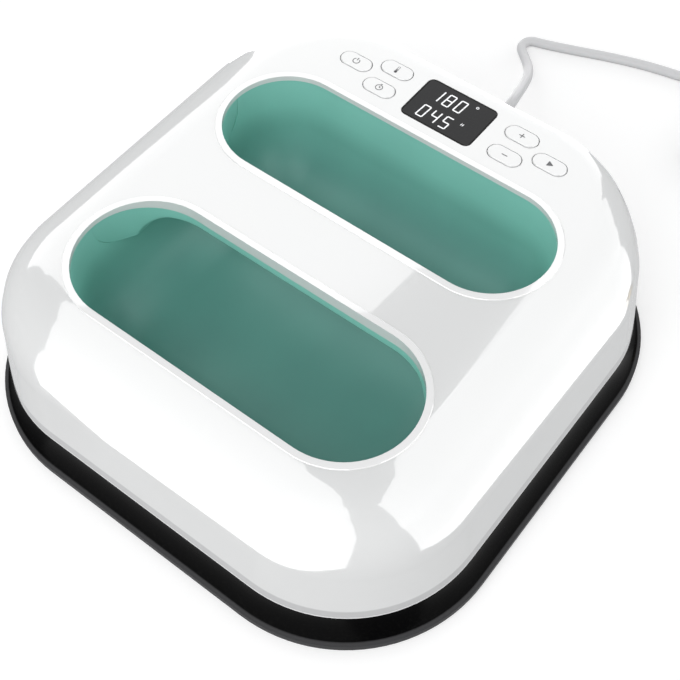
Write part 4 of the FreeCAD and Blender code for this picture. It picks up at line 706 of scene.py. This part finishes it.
# %% metals
PATCHES_PER_METRE = 45
ROUGHNESS_SWING = 0.25
METALS = (      # name, colour, tint, roughness, stretch, per metre and depth of the scratches
    ("steel", (0.6, 0.6, 0.61), (0.55, 0.55, 0.55), 0.3, (1, 1, 1), 900, 0.00001),
    ("element_sheath", (0.4, 0.39, 0.38), (0.34, 0.27, 0.2), 0.45, (1, 1, 1), 600, 0.00002),
    ("cast_plate", (0.66, 0.66, 0.67), (0.6, 0.6, 0.6), 0.32, (0.06, 1, 1), 1800, 0.00001),
    ("sheet_aluminium", (0.74, 0.74, 0.75), (0.68, 0.68, 0.69), 0.28, (1, 0.05, 1), 1500, 0.000006),
    ("plug_brass", (0.72, 0.55, 0.26), (0.6, 0.43, 0.2), 0.25, (1, 0.08, 1), 1400, 0.000008))


def worked_metal(name, colour, tint, roughness, stretch, per_metre, depth):
    """Metal with scratches in its surface and roughness, and patches of its tint."""
    tree, shader = finish(name, colour, roughness, metallic=1.0)
    scratches = noise_in(tree, per_metre, 3, stretch)
    patches = scale_range(tree, noise_in(tree, PATCHES_PER_METRE, 2), 0.4, 0.65, 0, 1)
    blend_colour(tree, shader, patches, colour, tint)
    rough = scale_range(tree, scratches, 0.3, 0.7, roughness * (1 - ROUGHNESS_SWING),
                        roughness * (1 + ROUGHNESS_SWING))
    tree.links.new(rough, shader.inputs["Roughness"])
    bump(tree, shader, scratches, depth)


for metal in METALS:
    worked_metal(*metal)
print("metals", [metal[0] for metal in METALS])

# %% [markdown]
# What is left are the pieces inside: moulded cases of the components, porcelain, nylon and the
# sleeves of the wires share the grain, with paler dust on them, as inside any appliance.

# %% inner plastics
INNER_GLOSS, INNER_GRAINS, INNER_DEPTH, INNER_DUST = 0.5, 1500, 0.00002, 0.12
INNER_PLASTICS = (
    ("display_body", (0.015, 0.015, 0.016), 0.4), ("black_part", (0.012, 0.012, 0.012), 0.5),
    ("blue_part", (0.02, 0.07, 0.3), 0.35), ("yellow_part", (0.6, 0.42, 0.06), 0.5),
    ("porcelain", (0.78, 0.76, 0.7), 0.55), ("grey_nylon", (0.3, 0.3, 0.31), 0.5),
    ("wire_sleeve", (0.02, 0.02, 0.022), 0.4), ("silicone_sleeve", (0.7, 0.68, 0.6), 0.6),
    ("ribbon_grey", (0.25, 0.25, 0.27), 0.45))
for name, colour, roughness in INNER_PLASTICS:
    moulded(name, colour, roughness, INNER_GLOSS, INNER_GRAINS, INNER_DEPTH, INNER_DUST,
            tuple(c * 0.6 + 0.2 for c in colour))
print("inner plastics", len(INNER_PLASTICS))

# %% [markdown]
# Boards are green lacquer over copper tracks, and a brick pattern draws the tracks. Felt is a mat
# of fibres that run both ways, so two noises, each drawn out along its own axis, lie over each
# other, and the higher one shows.

# %% boards and felt
LACQUER, TRACK = (0.008, 0.075, 0.025), (0.03, 0.16, 0.06)
TRACKS_SCALE, TRACKS_WIDTH, TRACKS_DEPTH = 180, 0.04, 0.00004
FELT_DARK, FELT_LIGHT = (0.6, 0.57, 0.48), (0.78, 0.75, 0.66)
FIBRES_PER_METRE, FIBRES_DRAWN, FIBRES_DEPTH = 1100, 0.12, 0.0003

tree, shader = finish("circuit_board", LACQUER, 0.3, coat=0.4, coat_roughness=0.15)
place = tree.nodes.new("ShaderNodeTexCoord")
tracks = tree.nodes.new("ShaderNodeTexBrick")
tracks.inputs["Scale"].default_value = TRACKS_SCALE
tracks.inputs["Mortar Size"].default_value = TRACKS_WIDTH
tree.links.new(place.outputs["Object"], tracks.inputs["Vector"])
blend_colour(tree, shader, tracks.outputs["Fac"], LACQUER, TRACK)
bump(tree, shader, tracks.outputs["Fac"], TRACKS_DEPTH)

tree, shader = finish("glass_felt", FELT_LIGHT, 0.95, gloss=0.1)
layers = [noise_in(tree, FIBRES_PER_METRE, 5, stretch)
          for stretch in ((1, FIBRES_DRAWN, 1), (FIBRES_DRAWN, 1, 1))]
fibres = maths(tree, "MAXIMUM", *layers)
blend_colour(tree, shader, scale_range(tree, fibres, 0.4, 0.75, 0, 1), FELT_DARK, FELT_LIGHT)
bump(tree, shader, fibres, FIBRES_DEPTH)
print("finishes", len(finishes), "missing", sorted(set(slot_of.values()) - set(finishes)))

# %% [markdown]
# Each piece of the frame names the finish it is to have. The plain material it came with goes, and
# the named one takes its slot. That is all that is ever done to a piece of the frame.

# %% dress the frame
for name, node in nodes.items():
    node.data.materials.clear()
    node.data.materials.append(finishes[slot_of[name]])
cord.data.materials.append(finishes["cord_jacket"])
print("dressed", len(nodes), "pieces and the cord")

# %% [markdown]
# The large moulded pieces arrive as loose triangles, and a mirror-like surface shows every one of
# them. Each gets a joined-up copy that takes its place: doubles are merged, and faces that meet at
# a small angle are shaded smooth, while edges over that angle stay crisp.

# %% smooth copies
MERGE_WITHIN = 0.000005
SHARP_OVER = math.radians(32)

for node, name in (("upper_housing", "white_housing"), ("base_housing", "black_housing"),
                   ("grip_well", "teal_well"), ("handle_underside", "teal_underside")):
    copy = bpy.data.objects.new(name, nodes[node].data.copy())
    bpy.context.scene.collection.objects.link(copy)
    bpy.ops.object.select_all(action="DESELECT")
    copy.select_set(True)
    bpy.context.view_layer.objects.active = copy
    bpy.ops.mesh.customdata_custom_splitnormals_clear()
    bpy.ops.object.mode_set(mode="EDIT")
    bpy.ops.mesh.select_all(action="SELECT")
    bpy.ops.mesh.remove_doubles(threshold=MERGE_WITHIN)
    bpy.ops.object.mode_set(mode="OBJECT")
    bpy.ops.object.shade_smooth_by_angle(angle=SHARP_OVER)
    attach(copy, "press")
    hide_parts(node)
    print(name, len(copy.data.vertices), "vertices", len(copy.data.polygons), "faces")

# %% [markdown]
# Signs and figures are flat shapes with hardly any thickness. By hand they are made in edit mode
# from a primitive, and three small helpers keep to that way: one adds it and opens it for editing,
# one picks vertices by their place, and one closes it and moves its place into its mesh.

# %% editing helpers
def add_and_edit(add, **values):
    """Adds a primitive at its size and place, with nothing else selected, and opens it."""
    bpy.ops.object.select_all(action="DESELECT")
    add(**values)
    piece = bpy.context.active_object
    bpy.ops.object.mode_set(mode="EDIT")
    return piece


def choose(piece, test):
    """Selects the vertices whose place passes the test, and nothing else."""
    bpy.ops.mesh.select_all(action="DESELECT")
    bpy.ops.object.mode_set(mode="OBJECT")
    for vertex in piece.data.vertices:
        vertex.select = test(vertex.co)
    bpy.ops.object.mode_set(mode="EDIT")


def settle(piece):
    """Leaves edit mode and moves the piece's place into its mesh."""
    bpy.ops.object.mode_set(mode="OBJECT")
    piece.data.transform(piece.matrix_world)
    piece.matrix_world = Matrix.Identity(4)
    return piece


print("editing helpers ready")

# %% [markdown]
# Most of a sign is rings and bars. A ring is a circle whose edge is extruded and drawn in, and it
# may be opened at its top. A bar is a plane, stretched and bevelled at its corners, and an inset
# whose middle is deleted leaves only its outline.

# %% ring and bar
RING_POINTS = 40
ROUND_ENDS = 0.45


def flat_ring(outer, inner, gap=0.0, at=(0, 0)):
    """Ring, open towards +Y by gap radians each side."""
    piece = add_and_edit(bpy.ops.mesh.primitive_circle_add, vertices=RING_POINTS, radius=outer,
                         location=(*at, 0))
    bpy.ops.mesh.extrude_edges_move()
    bpy.ops.transform.resize(value=(inner / outer, inner / outer, 1), center_override=(*at, 0))
    if gap:
        choose(piece, lambda co: abs(math.atan2(co.x, co.y)) < gap)
        bpy.ops.mesh.delete(type="VERT")
    return settle(piece)


def flat_bar(width, height, at=(0, 0), turn=0.0, hollow=0.0):
    """Bar with rounded corners; hollow leaves only an outline of that width."""
    piece = add_and_edit(bpy.ops.mesh.primitive_plane_add, size=1, location=(0, 0, 0))
    bpy.ops.transform.resize(value=(width, height, 1))
    bpy.ops.mesh.bevel(offset=min(width, height) * ROUND_ENDS, segments=5, affect="VERTICES")
    if hollow:
        bpy.ops.mesh.inset(thickness=hollow)
        bpy.ops.mesh.delete(type="FACE")
    settle(piece)
    piece.data.transform(Matrix.Translation((*at, 0)) @ Matrix.Rotation(turn, 4, "Z"))
    return piece


print("bars are rounded by", ROUND_ENDS, "of their width")

# %% [markdown]
# A disc and a triangle are filled circles of many points and of three. The disc's inset keeps its
# border even, and the triangle's corners are bevelled, as a printed one has no sharp points.

# %% disc and triangle
DISC_POINTS = 32
DISC_BORDER, TRIANGLE_ROUND = 0.1, 0.16


def flat_disc(radius, at):
    piece = add_and_edit(bpy.ops.mesh.primitive_circle_add, vertices=DISC_POINTS, radius=radius,
                         location=(*at, 0), fill_type="NGON")
    bpy.ops.mesh.inset(thickness=radius * DISC_BORDER)
    return settle(piece)


def flat_triangle(radius, at):
    piece = add_and_edit(bpy.ops.mesh.primitive_circle_add, vertices=3, radius=radius,
                         location=(*at, 0), rotation=(0, 0, -math.pi / 2), fill_type="NGON")
    bpy.ops.mesh.bevel(offset=radius * TRIANGLE_ROUND, segments=4, affect="VERTICES")
    return settle(piece)


print("disc of", DISC_POINTS, "points")

# %% [markdown]
# The shapes of one sign are joined, and a Solidify modifier gives them the thickness of ink. It is
# applied at once, so that the sign is a plain mesh from there on.

# %% joining
def joined(parts, name, thickness):
    """One piece of all the parts, given its thickness upwards."""
    bpy.ops.object.select_all(action="DESELECT")
    for part in parts:
        part.select_set(True)
    bpy.context.view_layer.objects.active = parts[0]
    if len(parts) > 1:
        bpy.ops.object.join()
    piece = bpy.context.active_object
    piece.name = name
    solid = piece.modifiers.new("ink", "SOLIDIFY")
    solid.thickness = thickness
    solid.offset = 1
    bpy.ops.object.modifier_apply(modifier=solid.name)
    return piece


print("joining ready")

# %% [markdown]
# The buttons carry small printed signs in place of words: a broken ring for power, a thermometer, a
# clock, a plus, a minus and a triangle for start. Each is set on its own cap and rides on it, so it
# goes down with the button. The ink is a soft grey, a little uneven as pad printing is.

# %% button signs
INK = 0.00006
LINE = 0.00046
FINE_LINE, BOLD_LINE = LINE * 0.9, LINE * 1.1
RING = 0.0021
CROSS = 0.0034
INK_DARK, INK_LIGHT = (0.085, 0.085, 0.09), (0.12, 0.12, 0.125)
BLOTCHES_PER_METRE = 1200
tree, shader = finish("printed_grey", INK_DARK, 0.45)
add_grain(tree, shader, per_metre=2500, depth=0.000006, roughness=0.45, spread=0.05)
blend_colour(tree, shader, noise_in(tree, BLOTCHES_PER_METRE, 2), INK_DARK, INK_LIGHT)


def sign_parts(button):
    """The flat shapes of one button's sign, round the button's middle."""
    if button == "power_button":            # broken ring and stroke
        return [flat_ring(RING, RING - LINE, gap=0.55), flat_bar(LINE, RING, at=(0, 0.0015))]
    if button == "temperature_button":      # bulb, thread and tube
        return [flat_disc(0.0009, (0, -0.0017)), flat_bar(LINE, 0.0022, at=(0, -0.0006)),
                flat_bar(0.0013, 0.0044, at=(0, 0.0004), hollow=0.00026)]
    if button == "timer_button":            # ring, two hands and a knob
        return [flat_ring(RING, RING - FINE_LINE), flat_bar(FINE_LINE, 0.0014, at=(0, 0.0005)),
                flat_bar(0.001, FINE_LINE, at=(0.0004, 0)), flat_bar(0.0011, LINE, at=(0, 0.0026))]
    if button == "plus_button":
        return [flat_bar(CROSS, BOLD_LINE), flat_bar(BOLD_LINE, CROSS)]
    if button == "minus_button":
        return [flat_bar(CROSS, BOLD_LINE)]
    return [flat_triangle(0.0022, (-0.0001, 0))]


for button in [name for name in nodes if name.endswith("_button")]:
    low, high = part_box(button)
    sign = joined(sign_parts(button), button.replace("_button", "_sign"), INK)
    sign.data.transform(Matrix.Translation(((low.x + high.x) / 2, (low.y + high.y) / 2, high.z)))
    sign.data.materials.append(finishes["printed_grey"])
    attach(sign, button + "_cap")
    print(sign.name, len(sign.data.polygons), "faces at", [round(c, 4) for c in (low + high) / 2])

# %% [markdown]
# The display shows two numbers in seven-segment figures. One segment is modelled: a hexagon whose
# ends are pulled apart, once for the level segments and once, turned, for the upright ones.

# %% segments
SEGMENT = 0.0008
FIGURE_WIDTH, FIGURE_HEIGHT = 0.0046, 0.0093


def model_segment(length):
    """Flat bar along X with pointed ends."""
    tip = SEGMENT / math.sqrt(3)
    piece = add_and_edit(bpy.ops.mesh.primitive_circle_add, vertices=6, radius=tip,
                         fill_type="NGON", rotation=(0, 0, math.pi / 2), location=(0, 0, 0))
    settle(piece)
    bpy.ops.object.mode_set(mode="EDIT")
    for side in (-1, 1):
        choose(piece, lambda co: co.x * side > tip * 0.1)
        bpy.ops.transform.translate(value=(side * (length / 2 - tip), 0, 0))
    return settle(piece)


across = model_segment(FIGURE_WIDTH - SEGMENT * 0.8)
upward = model_segment(FIGURE_HEIGHT / 2 - SEGMENT * 0.45)
upward.data.transform(Matrix.Rotation(math.pi / 2, 4, "Z"))
print("segments", [round(max(piece.dimensions) * 1000, 2) for piece in (across, upward)], "mm")

# %% [markdown]
# Seven places, a to g, hold a segment each, and a figure is the places that are lit. A copy of a
# segment goes to every lit place and is leaned a little, as such figures are, and all are joined. A
# small ring after the upper number stands for degrees, and two strokes after the lower for seconds.

# %% lit figures
half_w, half_h = (FIGURE_WIDTH - SEGMENT) / 2, (FIGURE_HEIGHT - SEGMENT) / 2
PLACES = {"a": (across, 0, half_h), "g": (across, 0, 0), "d": (across, 0, -half_h),
          "f": (upward, -half_w, half_h / 2), "b": (upward, half_w, half_h / 2),
          "e": (upward, -half_w, -half_h / 2), "c": (upward, half_w, -half_h / 2)}
LIT = {"0": "abcdef", "1": "bc", "4": "fgbc", "5": "afgcd", "8": "abcdefg"}
NUMBERS = (("180", 0.0101, 0.0217), ("045", 0.0103, 0.0079))    # first figure's middle on the pane
FIGURE_PITCH = 0.0071
FIGURE_THICK = 0.00005
LEANING = Matrix(((1, math.tan(math.radians(4)), 0, 0), (0, 1, 0, 0), (0, 0, 1, 0), (0, 0, 0, 1)))
DEGREE_OUTER, DEGREE_INNER, DEGREE_AT = 0.00085, 0.00045, (0.0319, 0.0264)
STROKE_WIDTH, STROKE_HEIGHT, STROKE_TURN = 0.00045, 0.0017, -0.2
STROKES_AT = ((0.0316, 0.0117), (0.0326, 0.0117))


def figure(sign, x, y):
    """The lit segments of one figure, with its middle at x, y."""
    parts = []
    for segment in LIT[sign]:
        pattern, dx, dy = PLACES[segment]
        part = bpy.data.objects.new("segment", pattern.data.copy())
        bpy.context.scene.collection.objects.link(part)
        part.data.transform(Matrix.Translation((x, y, 0)) @ LEANING @
                            Matrix.Translation((dx, dy, 0)))
        parts.append(part)
    return parts


parts = []
for number, first_x, y in NUMBERS:
    for i, sign in enumerate(number):
        parts += figure(sign, pane_low.x + first_x + FIGURE_PITCH * i, pane_low.y + y)
parts.append(flat_ring(DEGREE_OUTER, DEGREE_INNER,
                       at=(pane_low.x + DEGREE_AT[0], pane_low.y + DEGREE_AT[1])))
for x, y in STROKES_AT:
    parts.append(flat_bar(STROKE_WIDTH, STROKE_HEIGHT, at=(pane_low.x + x, pane_low.y + y),
                          turn=STROKE_TURN))
figures = joined(parts, "display_figures", FIGURE_THICK)
figures.data.transform(Matrix.Translation((0, 0, pane_high.z)))
for pattern in (across, upward):
    bpy.data.objects.remove(pattern)
print("display_figures", len(figures.data.polygons), "faces")

# %% [markdown]
# The figures glow by their own light, softly, as they do behind a smoked pane. A fine noise lets
# the light vary a little over each segment, as it does over a real one.

# %% light of the figures
LIT_GLOW = 0.72
LIT_BLUE, LIT_WHITE = (0.92, 0.95, 1), (1, 1, 1)
FLICKERS_PER_METRE = 220
tree, shader = finish("lit_white", (0.3, 0.3, 0.3), 0.5)
shader.inputs["Emission Strength"].default_value = LIT_GLOW
flicker = noise_in(tree, FLICKERS_PER_METRE, 1)
blend_colour(tree, shader, flicker, LIT_BLUE, LIT_WHITE, into="Emission Color")
figures.data.materials.append(finishes["lit_white"])
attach(figures, "press")
print("figures glow at", LIT_GLOW)
